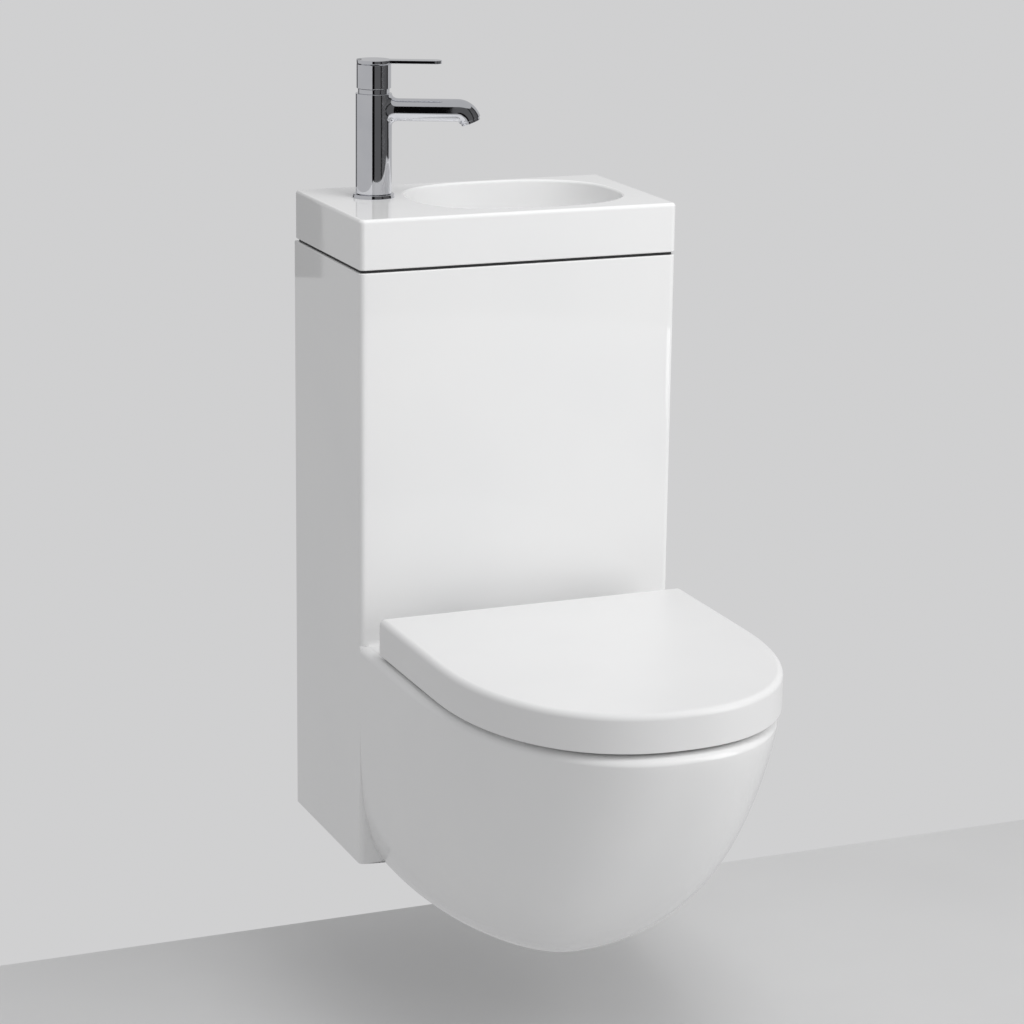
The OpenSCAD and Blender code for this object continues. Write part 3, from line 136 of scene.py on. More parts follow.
def block(name, x0, x1, y0, y1, z0, z1, turn=None):
    """A cube primitive brought to its place and size, in mm."""
    nothing_selected()
    bpy.ops.mesh.primitive_cube_add(size=1.0)
    piece = bpy.context.object
    piece.name = name
    for v in piece.data.vertices:
        p = (x1 if v.co.x > 0 else x0, y1 if v.co.y > 0 else y0, z1 if v.co.z > 0 else z0)
        if turn:
            p = turn(p)
        v.co = (p[0] * MM, p[1] * MM, p[2] * MM)
    return piece


def rod(name, p0, p1, r, m=64, turn=None):
    """A straight round rod from p0 to p1, in mm."""
    a, b = Vector(p0), Vector(p1)
    if turn:
        a, b = Vector(turn(a)), Vector(turn(b))
    nothing_selected()
    bpy.ops.mesh.primitive_cylinder_add(vertices=m, radius=r * MM, depth=(b - a).length * MM)
    piece = bpy.context.object
    piece.name = name
    to_axis = (b - a).to_track_quat("Z", "Y").to_matrix().to_4x4()
    piece.matrix_world = Matrix.Translation((a + b) / 2 * MM) @ to_axis
    take(piece)
    bpy.ops.object.transform_apply(location=True, rotation=True, scale=True)
    return piece


def upright(name, x, y, z0, z1, r, m=64):
    return rod(name, (x, y, z0), (x, y, z1), r, m)


def to_front(name, x, y0, zz, r, l):
    """A round rod of length l that runs forward from y0."""
    return rod(name, (x, y0, zz), (x, y0 - l, zz), r)


def carve(piece, *others, how="DIFFERENCE"):
    """Cuts the other solids out of the piece, or does what else how says, and removes them."""
    for other in others:
        take(piece)
        mod = piece.modifiers.new("carve", "BOOLEAN")
        mod.operation = how
        mod.solver = "EXACT"
        mod.object = other
        bpy.ops.object.modifier_apply(modifier=mod.name)
        bpy.data.objects.remove(other)
    return piece


def weld(piece, *others):
    """Adds the other solids to the piece."""
    return carve(piece, *others, how="UNION")


def soften(piece, width, segments, angle=40.0):
    """Rounds the piece's sharp edges by width mm."""
    take(piece)
    mod = piece.modifiers.new("soft edges", "BEVEL")
    mod.width = width * MM
    mod.segments = segments
    mod.limit_method = "ANGLE"
    mod.angle_limit = radians(angle)
    mod.miter_outer = "MITER_ARC"
    bpy.ops.object.modifier_apply(modifier=mod.name)
    return piece


def smooth(piece, angle):
    """Smooth shading with weighted normals, so that flat faces stay flat beside their rounded edges."""
    take(piece)
    bpy.ops.object.shade_smooth_by_angle(angle=radians(angle))
    mod = piece.modifiers.new("even shading", "WEIGHTED_NORMAL")
    mod.keep_sharp = True
    mod.weight = 100
    bpy.ops.object.modifier_apply(modifier=mod.name)
    return piece


def done(piece, body, finish, *nodes):
    """Gives the piece its material and slot, its body, and the CAD nodes it stands for."""
    piece.data.materials.clear()
    piece.data.materials.append(MATERIAL[finish])
    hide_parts(*nodes)
    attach(piece, body)
    return piece


# Curves and rings
def quarter(r, step, first=0):
    """Steps round a quarter circle of radius r: how far in from its side, and how far up, at each."""
    return [(r * (1 - cos(radians(a))), r * sin(radians(a))) for a in range(first, 91, step)]


def arc(cr, ch, r, a0, a1, n):
    """Points of a profile's round edge, angles in degrees."""
    angles = [radians(a0 + (a1 - a0) * i / n) for i in range(n + 1)]
    return [(cr + r * cos(a), ch + r * sin(a)) for a in angles]


def at(pts, zz):
    return [(x, y, zz) for x, y in pts]


def mirrored(pts):
    return [(-x, y) for x, y in reversed(pts)]


def between(low, x, high):
    return min(high, max(low, x))


def bent(p, q, s, t):
    """A point on the curve from p to s that q draws towards itself."""
    return (1 - t) ** 2 * p + 2 * t * (1 - t) * q + t * t * s


def spow(v, e):
    return copysign(abs(v) ** e, v)


def front_curve(w, yc, yf, n, m, trim=0.0):
    """The D's curved front from its left side round to its right side; trim takes degrees off both ends."""
    angles = [radians(180 + trim + (180 - 2 * trim) * i / m) for i in range(m + 1)]
    return [(w * spow(cos(a), 2 / n), -yc + (yf - yc) * spow(sin(a), 2 / n)) for a in angles]


def d_ring(w, yc, yf, n, yb, zz, m, rb):
    """A D with its back edge at yb, whose two corners have the radius rb."""
    corner = [radians(a) for a in range(0, 91, 15)]
    right = [(w - rb + rb * cos(a), yb - rb + rb * sin(a)) for a in corner]
    return at(front_curve(w, -yc, -yf, n, m) + right + mirrored(right), zz)


def oval(cx, cy, a, b, n, zz, m):
    turns = [2 * pi * i / m for i in range(m)]
    return [(cx + a * spow(cos(t), 2 / n), cy + b * spow(sin(t), 2 / n), zz) for t in turns]


# Materials
NOISE_LOW = 0.3
NOISE_HIGH = 0.7
FINE_RELIEF = 0.0003


class Paint:
    """A new material, whose colour, roughness and relief vary with noise over the piece."""

    def __init__(self, name, metallic=0.0):
        self.material = bpy.data.materials.new(name)
        self.material.use_nodes = True
        self.nodes = self.material.node_tree.nodes
        self.links = self.material.node_tree.links
        self.nodes.clear()
        out = self.nodes.new("ShaderNodeOutputMaterial")
        self.shader = self.nodes.new("ShaderNodeBsdfPrincipled")
        self.shader.inputs["Metallic"].default_value = metallic
        self.links.new(self.shader.outputs["BSDF"], out.inputs["Surface"])
        self.place = self.nodes.new("ShaderNodeTexCoord")

    def noise(self, scale, detail=3.0, rough=0.5, stretch=None):
        tex = self.nodes.new("ShaderNodeTexNoise")
        tex.inputs["Scale"].default_value = scale
        tex.inputs["Detail"].default_value = detail
        tex.inputs["Roughness"].default_value = rough
        where = self.place.outputs["Object"]
        if stretch:
            mapping = self.nodes.new("ShaderNodeMapping")
            mapping.inputs["Scale"].default_value = stretch
            self.links.new(where, mapping.inputs["Vector"])
            where = mapping.outputs["Vector"]
        self.links.new(where, tex.inputs["Vector"])
        return tex.outputs["Fac"]

    def tint(self, noise, low, high):
        ramp = self.nodes.new("ShaderNodeValToRGB")
        first, last = ramp.color_ramp.elements
        first.position = NOISE_LOW
        last.position = NOISE_HIGH
        first.color = (*low, 1.0)
        last.color = (*high, 1.0)
        self.links.new(noise, ramp.inputs["Fac"])
        self.links.new(ramp.outputs["Color"], self.shader.inputs["Base Color"])

    def vary(self, noise, low, high):
        span = self.nodes.new("ShaderNodeMapRange")
        span.inputs["From Min"].default_value = NOISE_LOW
        span.inputs["From Max"].default_value = NOISE_HIGH
        span.inputs["To Min"].default_value = low
        span.inputs["To Max"].default_value = high
        self.links.new(noise, span.inputs["Value"])
        self.links.new(span.outputs["Result"], self.shader.inputs["Roughness"])

    def relief(self, noise, strength, distance):
        bump = self.nodes.new("ShaderNodeBump")
        bump.inputs["Strength"].default_value = strength
        bump.inputs["Distance"].default_value = distance
        self.links.new(noise, bump.inputs["Height"])
        self.links.new(bump.outputs["Normal"], self.shader.inputs["Normal"])


def glaze():
    paint = Paint("white sanitary glaze")
    paint.tint(paint.noise(5.0, 2.0), (0.855, 0.857, 0.858), (0.880, 0.880, 0.877))
    paint.vary(paint.noise(14.0), 0.05, 0.11)
    paint.relief(paint.noise(26.0, 2.0), 0.035, 0.002)
    paint.shader.inputs["IOR"].default_value = 1.52
    paint.shader.inputs["Specular IOR Level"].default_value = 0.5
    return paint.material


def duroplast():
    paint = Paint("white moulded seat plastic")
    paint.tint(paint.noise(7.0, 2.0), (0.815, 0.815, 0.815), (0.835, 0.835, 0.833))
    paint.vary(paint.noise(18.0), 0.29, 0.35)
    paint.relief(paint.noise(60.0, 2.0), 0.02, FINE_RELIEF)
    paint.shader.inputs["IOR"].default_value = 1.49
    return paint.material


def chromed():
    paint = Paint("polished chrome plate", 1.0)
    paint.tint(paint.noise(30.0), (0.71, 0.72, 0.755), (0.77, 0.775, 0.805))
    paint.vary(paint.noise(160.0), 0.025, 0.06)
    paint.relief(paint.noise(60.0, 1.0), 0.02, 0.0005)
    return paint.material


def metal(name, low, high, rough_low, rough_high, stretch):
    paint = Paint(name, 1.0)
    grain = paint.noise(900.0, 4.0, 0.6, stretch)
    paint.tint(grain, low, high)
    paint.vary(grain, rough_low, rough_high)
    paint.relief(grain, 0.12, FINE_RELIEF)
    return paint.material


def moulded(name, low, high, rough_low, rough_high, scale=700.0, depth=0.1):
    paint = Paint(name)
    paint.tint(paint.noise(22.0), low, high)
    grain = paint.noise(scale)
    paint.vary(grain, rough_low, rough_high)
    paint.relief(grain, depth, FINE_RELIEF)
    return paint.material


MATERIAL = {
    "glazed_white": glaze(),
    "seat_white": duroplast(),
    "chrome": chromed(),
    "steel": metal("brushed steel", (0.50, 0.50, 0.51), (0.63, 0.63, 0.64), 0.29, 0.38, (1.0, 1.0, 0.08)),
    "brass": metal("plain brass", (0.62, 0.44, 0.20), (0.76, 0.58, 0.30), 0.29, 0.36, (1.0, 1.0, 0.2)),
    "rubber_dark": moulded("black seal rubber", (0.018, 0.018, 0.019), (0.035, 0.035, 0.036),
                           0.55, 0.75, 500.0, 0.25),
    "rubber_light": moulded("pale buffer rubber", (0.62, 0.62, 0.61), (0.70, 0.70, 0.69),
                            0.45, 0.6, 500.0, 0.2),
    "plastic_white": moulded("white moulded plastic", (0.74, 0.74, 0.73), (0.80, 0.80, 0.79), 0.28, 0.42),
    "plastic_grey": moulded("grey moulded plastic", (0.36, 0.37, 0.39), (0.43, 0.44, 0.46),
                            0.38, 0.52, 500.0, 0.2),
    "plastic_blue": moulded("blue moulded plastic", (0.10, 0.22, 0.45), (0.14, 0.28, 0.52), 0.3, 0.42),
    "plastic_dark": moulded("dark moulded plastic", (0.03, 0.03, 0.033), (0.05, 0.05, 0.054), 0.35, 0.5),
}
for part in frame["record"]["subparts"]:
    node = frame["nodes"][part["node"]]
    node.data.materials.clear()
    node.data.materials.append(MATERIAL[part["material_slot"]])
# the joint under the basin lies in shadow, so its pad is given the black rubber: the black is painted shade
# in the joint
frame["nodes"]["basin_gasket"].data.materials[0] = MATERIAL["rubber_dark"]


# The ceramic casting
PAN_REACH = 650.0
BELLY_DROP = 62.0
BELLY_REACH = 370.0
BELLY_BACK = 320.0
PAN_WALL = 12.0
PAN_TOP = RIM_H - 8
# How late and how roundly the pan's front and sides fall away
FRONT_FALL = 1.25
FRONT_ROUND = 0.7
SIDE_START = 0.2
SIDE_FALL = 5
SIDE_ROUND = 0.44
PAN_MID = 345.0
PAN_MID_SHIFT = 215.0
PAN_MID_FALL = 1.2
PAN_POWER = 2.35
PAN_POWER_GAIN = 0.4
BELLY_CORNER = 4.0
BELLY_CORNER_GAIN = 46.0
BELLY_FLAT_SHARE = 0.985
BELLY_START = 0.0001
BELLY_FLOOR = PAN_WALL + 4
RIM_EDGE = 9.0
RIM_ROUND = 13.0
RIM_CHANGE_GAP = 5.0
RIM_CHANGE_L = 50.0
COVE_R = 6.0
FRONT_POINTS = 128
HOLLOW_POINTS = 64
BELLY_RINGS = 26
PAN_RINGS = 48
PAN_HOLLOW_RINGS = 24
BELLY_HOLLOW_RINGS = 12
FIXING_WALL_Z = -36.0
FIXING_WALL_H = 70.0
WEB_T = 14.0
WEB_GAP = 26.0
TANK_H = 280.0
RIB_H = 575.0
LUG_H = 600.0
LUG_T = 12.0
LUG_HALF = 17.0
OUTLET_R = 51.0
OUTLET_BORE_R = 43.0
OUTLET_H = 70.0
OUTLET_GAP = 35.0
SPIGOT_L = 60.0
INLET_H = 205.0
INLET_R = 36.0
INLET_BORE_R = 28.0
FLUSH_PIPE_R = 22.0
FIXING_X = 90.0
SLEEVE_HOLE_R = 14.3
HINGE_X = 77.5
HINGE_HOLE_R = 6.0
STUD_Y = 246.0
BUTTON_Y = 106.0
BUTTON_H = 560.0
BUTTON_HALF = 40.0
BUTTON_RISE = 17.0


def pan_t(h):
    """How far down the pan a height is: 0 at its straight top and 1 at the belly's lowest point."""
    return between(0.0, (PAN_TOP - h) / (PAN_TOP + BELLY_DROP), 1.0)


def pan_front(h):
    return BELLY_REACH + (PAN_REACH - BELLY_REACH) * max(0.0, 1 - pan_t(h) ** FRONT_FALL) ** FRONT_ROUND


def pan_half(h):
    t = pan_t(h)
    return HALF_W * (1.0 if t < SIDE_START else max(0.0, 1 - t ** SIDE_FALL) ** SIDE_ROUND)


def pan_shape(h, inset):
    """Half width, front reach, centre and superellipse power of the pan's D at a height, less the inset."""
    t = pan_t(h) ** PAN_MID_FALL
    yf = pan_front(h) - inset
    return pan_half(h) - inset, yf, min(PAN_MID - PAN_MID_SHIFT * t, yf - 20), PAN_POWER + PAN_POWER_GAIN * t


def column_right(w, rc, yw):
    """The right side of a casting ring: the pan's side end, the column's round corner and its back edge."""
    turns = [radians(a) for a in (-90, -67.5, -45, -22.5, 0)]
    corner = [(HALF_W - rc + rc * cos(a), -COLUMN_D + rc + rc * sin(a)) for a in turns]
    return [(w, yw)] + corner + [(HALF_W, 0.0)]


def casting_ring(h, draw=0.0):
    """A ring of the pan and the column behind it. The rim's edge keeps the plan that it starts with."""
    w, yf, yc, n = pan_shape(min(h, RIM_H - RIM_EDGE), draw)
    cut = max(0.0, (COLUMN_D - yc) / (yf - yc))
    x0 = w * (1 - cut ** n) ** (1 / n)
    right = column_right(x0, min(CORNER_R, HALF_W - x0), -COLUMN_D)
    front = front_curve(w, yc, yf, n, FRONT_POINTS, degrees(asin(cut ** (n / 2))))
    return at(front + right + mirrored(right), z(h))


def rim_ring(a):
    """A ring of the rim's round edge, which is broader under the lid than beside the column."""
    h = RIM_H - RIM_EDGE + RIM_EDGE * sin(a)
    turn = 1 - cos(a)
    ring = []
    for p, q in zip(casting_ring(h, RIM_EDGE * turn), casting_ring(h, RIM_ROUND * turn)):
        t = between(0.0, (-p[1] - COLUMN_D - RIM_CHANGE_GAP) / RIM_CHANGE_L, 1.0)
        t = t * t * (3 - 2 * t)
        ring.append(tuple(u * (1 - t) + v * t for u, v in zip(p, q)))
    return ring


def belly_ring(h, inset, m):
    """A ring of the belly below the column's foot: a D whose back has wide soft corners."""
    w, yf, yc, n = pan_shape(h, inset)
    back = COLUMN_D + (BELLY_BACK - COLUMN_D) * between(0.0, -h / BELLY_DROP, 1.0) + inset
    c0 = between(0.0, (back - yc) / (yf - yc), 0.97)
    x0 = w * (1 - c0 ** n) ** (1 / n)
    soft = BELLY_CORNER + BELLY_CORNER_GAIN * sqrt(max(0.0, -h) / BELLY_DROP)
    soft = min(soft, x0 * 0.8, (yf - back) * 0.5)
    c1 = between(0.0, (back + soft - yc) / (yf - yc), 0.98)
    trim = degrees(asin(c1 ** (n / 2)))
    x1 = w * cos(radians(trim)) ** (2 / n)
    y1 = -yc - (yf - yc) * c1
    right = [(bent(x1, x0, x0 - soft, i / 7), bent(y1, -back, -back, i / 7)) for i in range(1, 8)]
    return at(front_curve(w, yc, yf, n, m, trim) + right + mirrored(right), z(h))


def casting_outside():
    deep = -BELLY_DROP * BELLY_FLAT_SHARE
    turns = [radians(90 - 90 * i / BELLY_RINGS) for i in range(BELLY_RINGS)]
    rings = [belly_ring(deep * sin(a), 0.0, FRONT_POINTS) for a in turns]
    rings.append(belly_ring(-BELLY_START, 0.0, FRONT_POINTS))
    rings += [casting_ring((RIM_H - RIM_EDGE) * i / PAN_RINGS) for i in range(PAN_RINGS + 1)]
    rings += [rim_ring(radians(a)) for a in range(9, 91, 9)]
    # over the rim to the cove at the column's front, then up
    top = rings[-1][:FRONT_POINTS + 1]
    for up, back in quarter(COVE_R, 18):
        y = -COLUMN_D - COVE_R + back
        right = column_right(HALF_W - RIM_EDGE, CORNER_R, y)
        rings.append(at([(p[0], y) for p in top] + right + mirrored(right), RIM_Z + up))
    flat = rings[-1]
    for down, draw in ((1.5, 0.0), (0.75, 0.2), (0.2, 0.75), (0.0, 1.5)):
        kx, ky = 1 - draw / HALF_W, 1 - draw / COLUMN_D
        rings.append([(x * kx, y * ky, z(COLUMN_H) - down) for x, y, _ in flat])
    return skin("casting", rings)


def pan_hollow():
    rings = []
    for i in range(PAN_HOLLOW_RINGS + 1):
        h = PAN_WALL + (RIM_H - 2 * PAN_WALL) * i / PAN_HOLLOW_RINGS
        w, yf, yc, n = pan_shape(h, PAN_WALL)
        rings.append(d_ring(w, -yc, -yf, n, -COLUMN_D / 2, z(h), HOLLOW_POINTS, 0.5))
    return skin("pan hollow", rings)


def belly_hollow():
    low = -BELLY_DROP + BELLY_FLOOR
    turns = [radians(90 * i / BELLY_HOLLOW_RINGS) for i in range(BELLY_HOLLOW_RINGS + 1)]
    rings = [belly_ring(low * cos(a), PAN_WALL, HOLLOW_POINTS) for a in turns]
    rings.append(belly_ring(PAN_WALL + 1.0, PAN_WALL, HOLLOW_POINTS))
    return skin("belly hollow", rings)


MOUTH_A = 134.0
MOUTH_B = 152.0
MOUTH_Y = 456.0
MOUTH_R = 5.0
MOUTH_POWER = 2.15
BOWL_FALL = 2.2
BOWL_ROUND = 0.62
BOWL_MID_FALL = 1.5
BOWL_RINGS = 36
BOWL_OUTSIDE_RINGS = 16
BOWL_OUTSIDE_GAP = 4.0
BOWL_WALL = 9.0
BOWL_LOW_H = -38.0
BOWL_POINTS = 120
BOWL_OUTSIDE_POINTS = 72
SUMP_Y = 346.0
SUMP_HALF = 40.0


def bowl_ring(h, grow, zz, m):
    t = (RIM_H - h) / (RIM_H - BOWL_LOW_H)
    k = max(0.0, 1 - t ** BOWL_FALL) ** BOWL_ROUND
    mid = MOUTH_Y - (MOUTH_Y - SUMP_Y) * t ** BOWL_MID_FALL
    a, b = max(SUMP_HALF, MOUTH_A * k), max(SUMP_HALF, MOUTH_B * k)
    return oval(0, -mid, a + grow, b + grow, MOUTH_POWER, zz, m)


def bowl_rings(top, count, grow, m):
    """Rings of the bowl from its floor to a height below the rim, closer together near the floor."""
    steps = [radians(90 * i / count) for i in range(count + 1)]
    heights = [BOWL_LOW_H + (RIM_H - top - BOWL_LOW_H) * (1 - cos(a)) for a in steps]
    return [bowl_ring(h, grow, z(h), m) for h in heights]


def bowl_inside():
    rings = bowl_rings(MOUTH_R, BOWL_RINGS, 0.0, BOWL_POINTS)
    for out, up in quarter(MOUTH_R, 15, 15):
        rings.append(bowl_ring(RIM_H - MOUTH_R + up, out, RIM_Z - MOUTH_R + up, BOWL_POINTS))
    rings.append([(x, y, RIM_Z + 5) for x, y, _ in rings[-1]])
    return skin("bowl inside", rings)


def bowl_outside():
    foot = bowl_ring(BOWL_LOW_H, BOWL_WALL, z(BOWL_LOW_H) - BOWL_WALL, BOWL_OUTSIDE_POINTS)
    rings = bowl_rings(BOWL_OUTSIDE_GAP, BOWL_OUTSIDE_RINGS, BOWL_WALL, BOWL_OUTSIDE_POINTS)
    return skin("bowl outside", [foot] + rings)


TRAP_BORE_R = 28.0
TRAP_WALL = 9.0
TRAP_BEND_R = 45.0
TRAP_BEND_Y = SUMP_Y - 24
SUMP_H = -8.0
CROWN_H = 103.0
UP_ANGLE = 60.0
DOWN_ANGLE = 35.0
TRAP_END_L = 30.0
TRAP_STEP = 10.0
TRAP_POINTS = 48


def trapway(r, extra):
    """The bent pipe from the sump up over the crown and down towards the outlet, extra mm longer there."""
    up_y = TRAP_BEND_R * sin(radians(UP_ANGLE))
    up_h = TRAP_BEND_R * (1 - cos(radians(UP_ANGLE)))
    rise = CROWN_H - up_h - (SUMP_H + up_h)
    crown_y = TRAP_BEND_Y - up_y - rise / tan(radians(UP_ANGLE)) - up_y
    path = [(SUMP_Y, SUMP_H, 0.0)]
    count = int(UP_ANGLE / TRAP_STEP)
    for i in range(count + 1):
        a = UP_ANGLE * i / count
        path.append((TRAP_BEND_Y - TRAP_BEND_R * sin(radians(a)),
                     SUMP_H + TRAP_BEND_R * (1 - cos(radians(a))), a))
    count = int((UP_ANGLE + DOWN_ANGLE) / TRAP_STEP) + 1
    for i in range(count + 1):
        a = UP_ANGLE - (UP_ANGLE + DOWN_ANGLE) * i / count
        path.append((crown_y + TRAP_BEND_R * sin(radians(a)),
                     CROWN_H - TRAP_BEND_R * (1 - cos(radians(a))), a))
    y, h, _ = path[-1]
    l = TRAP_END_L + extra
    down = radians(DOWN_ANGLE)
    path.append((y - l * cos(down), h - l * sin(down), -DOWN_ANGLE))
    turns = [2 * pi * i / TRAP_POINTS for i in range(TRAP_POINTS)]
    rings = []
    for y, h, a in path:
        lean, rest = sin(radians(a)), cos(radians(a))
        rings.append([(r * cos(t), -y + r * sin(t) * lean, z(h) - r * sin(t) * rest) for t in turns])
    return skin("trapway", rings)


def make_casting():
    piece = casting_outside()
    across = (-WALL_IN - 1, WALL_IN + 1)
    window = (WALL_IN - 5, WALL_IN + 20, -BUTTON_Y - BUTTON_HALF, -BUTTON_Y + BUTTON_HALF)
    carve(piece, block("column hollow", -WALL_IN, WALL_IN, -FRONT_IN, 1, z(COLUMN_WALL), z(COLUMN_H) + 12),
          pan_hollow(), belly_hollow())
    weld(piece, bowl_outside(), trapway(TRAP_BORE_R + TRAP_WALL, 0.0),
         to_front("outlet", 0, -OUTLET_GAP, z(OUTLET_H), OUTLET_R, SPIGOT_L + 1),
         to_front("outlet shoulder", 0, -OUTLET_GAP - SPIGOT_L, z(OUTLET_H), OUTLET_R + 2, 70),
         to_front("inlet socket", 0, -FRONT_IN + 6, z(INLET_H), INLET_R, 112))
    for z0, h in ((FIXING_WALL_Z, FIXING_WALL_H), (z(TANK_H) - WEB_T, WEB_T), (z(RIB_H), WEB_T)):
        weld(piece, block("cross wall", *across, -WEB_GAP - WEB_T, -WEB_GAP, z0, z0 + h))
    weld(piece, block("front ledge", *across, -FRONT_IN - 1, -FRONT_IN + 17, z(TANK_H) - WEB_T, z(TANK_H)))
    for s in SIDES:
        x = s * (TIE_X + 5)
        weld(piece, block("tie lug", x - LUG_HALF, x + LUG_HALF, -TIE_Y - LUG_HALF, -TIE_Y + LUG_HALF,
                          z(LUG_H), z(LUG_H + LUG_T)))
    carve(piece, bowl_inside(), trapway(TRAP_BORE_R, 12.0),
          to_front("outlet bore", 0, -OUTLET_GAP + 1, z(OUTLET_H), OUTLET_BORE_R, 122),
          to_front("inlet bore", 0, -FRONT_IN + 7, z(INLET_H), INLET_BORE_R, 60),
          to_front("inlet passage", 0, -FRONT_IN - 50, z(INLET_H), FLUSH_PIPE_R, 90))
    for s in SIDES:
        carve(piece, to_front("fixing hole", s * FIXING_X, 0, 0, SLEEVE_HOLE_R, 80),
              upright("hinge hole", s * HINGE_X, -STUD_Y, RIM_Z - 17, RIM_Z + 5, HINGE_HOLE_R, 48),
              upright("tie hole", s * TIE_X, -TIE_Y, z(LUG_H) - 1, z(LUG_H + LUG_T) + 1, TIE_HOLE_R, 48))
    carve(piece, block("button window", *window, z(BUTTON_H) - BUTTON_RISE, z(BUTTON_H) + BUTTON_RISE))
    smooth(piece, CREASE)
    return done(piece, "fixed_body", "glazed_white", "casting_column", "casting_rim", "casting_pan",
                "casting_bowl", "casting_trapway", "casting_outlet")


make_casting()


# The basin
SHADOW_GAP = 3.0
BASIN_Z = z(COLUMN_H + SHADOW_GAP)
BASIN_EDGE = 4.0
BASIN_FOOT_R = 1.5
BASIN_WALL = 13.0
BASIN_INNER_R = 3.0
BASIN_BOWL_POINTS = 144
BASIN_BOWL_RINGS = 40
BASIN_SHELL_POINTS = 64
BASIN_SHELL_RINGS = 16
SLAB_CORNER_STEPS = 8
TIE_BOSS_L = 48.0
BOWL_X = 36.0
BOWL_Y = 100.0
BOWL_A = 118.0
BOWL_B = 90.0
BOWL_DEPTH = 95.0
BOWL_FLOOR_Z = DECK_Z - BOWL_DEPTH
BOWL_FLOOR_R = 33.0
BOWL_SHELL = 9.0
BOWL_SHELL_GAP = 2.0
BOWL_LIP = 3.0
BASIN_BOWL_FALL = 3.2
BASIN_BOWL_ROUND = 0.42
BASIN_BOWL_POWER = 2.5
BASIN_BOWL_POWER_LOSS = 0.4
WASTE_HOLE_R = 23.0
TAP_X = -115.0
TAP_Y = 73.0
TAP_HOLE_R = 17.5


def slab_ring(draw, r, zz):
    """A ring of the slab with round corners, drawn in on all sides."""
    pts = []
    for q in range(4):
        sx = 1 if q in (0, 3) else -1
        sy = 1 if q < 2 else -1
        for i in range(SLAB_CORNER_STEPS + 1):
            a = radians(90 * q + 90 * i / SLAB_CORNER_STEPS)
            x = sx * (HALF_W - draw - r) + r * cos(a)
            y = -COLUMN_D / 2 + sy * (COLUMN_D / 2 - draw - r) + r * sin(a)
            pts.append((x, y, zz))
    return pts


def basin_bowl_ring(t, grow, zz, m):
    k = max(0.0, 1 - t ** BASIN_BOWL_FALL) ** BASIN_BOWL_ROUND
    a, b = max(BOWL_FLOOR_R, BOWL_A * k), max(BOWL_FLOOR_R, BOWL_B * k)
    power = BASIN_BOWL_POWER - BASIN_BOWL_POWER_LOSS * t
    return oval(BOWL_X, -BOWL_Y, a + grow, b + grow, power, zz, m)


def basin_bowl_rings(count, grow, top, m):
    """Rings of the bowl from its floor up to a distance below the deck, closer together near the floor."""
    depths = [sin(radians(90 * i / count)) for i in range(count, -1, -1)]
    return [basin_bowl_ring(t, grow, DECK_Z - top - (BOWL_DEPTH - top) * t, m) for t in depths]


def make_basin():
    rings = [slab_ring(BASIN_FOOT_R, CORNER_R - BASIN_FOOT_R, BASIN_Z)]
    for up, out in quarter(BASIN_FOOT_R, 30, 30):
        draw = BASIN_FOOT_R - out
        rings.append(slab_ring(draw, CORNER_R - draw, BASIN_Z + up))
    for draw, up in quarter(BASIN_EDGE, 10):
        rings.append(slab_ring(draw, CORNER_R - draw, DECK_Z - BASIN_EDGE + up))
    piece = skin("basin_piece", rings)
    under = [slab_ring(BASIN_WALL, BASIN_INNER_R, zz) for zz in (BASIN_Z - 1, DECK_Z - BASIN_WALL)]
    carve(piece, skin("underside", under))
    foot = basin_bowl_ring(1, BOWL_SHELL, BOWL_FLOOR_Z - BOWL_SHELL, BASIN_SHELL_POINTS)
    shell = basin_bowl_rings(BASIN_SHELL_RINGS, BOWL_SHELL, BOWL_SHELL_GAP, BASIN_SHELL_POINTS)
    weld(piece, skin("bowl shell", [foot] + shell))
    for s in SIDES:
        weld(piece, upright("tie boss", s * TIE_X, -TIE_Y, BASIN_Z, BASIN_Z + TIE_BOSS_L, TIE_BOSS_R, 48))
    hollow = basin_bowl_rings(BASIN_BOWL_RINGS, 0, BOWL_LIP, BASIN_BOWL_POINTS)
    for out, up in quarter(BOWL_LIP, 15, 15):
        hollow.append(basin_bowl_ring(0, out, DECK_Z - BOWL_LIP + up, BASIN_BOWL_POINTS))
    hollow.append([(x, y, DECK_Z + 5) for x, y, _ in hollow[-1]])
    carve(piece, skin("bowl hollow", hollow),
          upright("waste hole", BOWL_X, -BOWL_Y, BOWL_FLOOR_Z - 40, BOWL_FLOOR_Z + 20, WASTE_HOLE_R),
          upright("tap hole", TAP_X, -TAP_Y, DECK_Z - 40, DECK_Z + 20, TAP_HOLE_R))
    for s in SIDES:
        carve(piece, upright("tie bore", s * TIE_X, -TIE_Y, BASIN_Z - 3, BASIN_Z + 18, TIE_BORE_R, 48))
    smooth(piece, CREASE)
    return done(piece, "fixed_body", "glazed_white", "basin")


make_basin()


# Seat and lid
HINGE_Y = 262.0
HINGE_Z = RIM_Z + 16
HINGE_BORE_R = 4.06
BARREL_R = 8.8
LUG_W = 15.0
LUG_STEP = 19.9
LID_HALF = 175.0
LID_MID = 415.0
LID_REACH = 645.0
LID_BACK = 254.5
LID_POWER = 2.27
LID_CORNER_R = 5.0
NOTCH_HALF = 30.0
NOTCH_FRONT = 259.1
NOTCH_BACK = 247.1
LID_Z = RIM_Z + 2.5
LID_TOP = LID_Z + 40.5
LID_EDGE = 6.75
LID_WALL = 4.5
LID_INNER_R = 3.0
SEAT_IN = 6.1
SEAT_BACK = 278.0
SEAT_CORNER_R = 13.0
SEAT_Z = RIM_Z + 4.5
SEAT_TOP = SEAT_Z + 18
SEAT_EDGE = 7.0
SEAT_HOLE_A = 113.0
SEAT_HOLE_B = 137.0
SEAT_HOLE_POWER = 2.1
SEAT_HOLE_W = 10.0
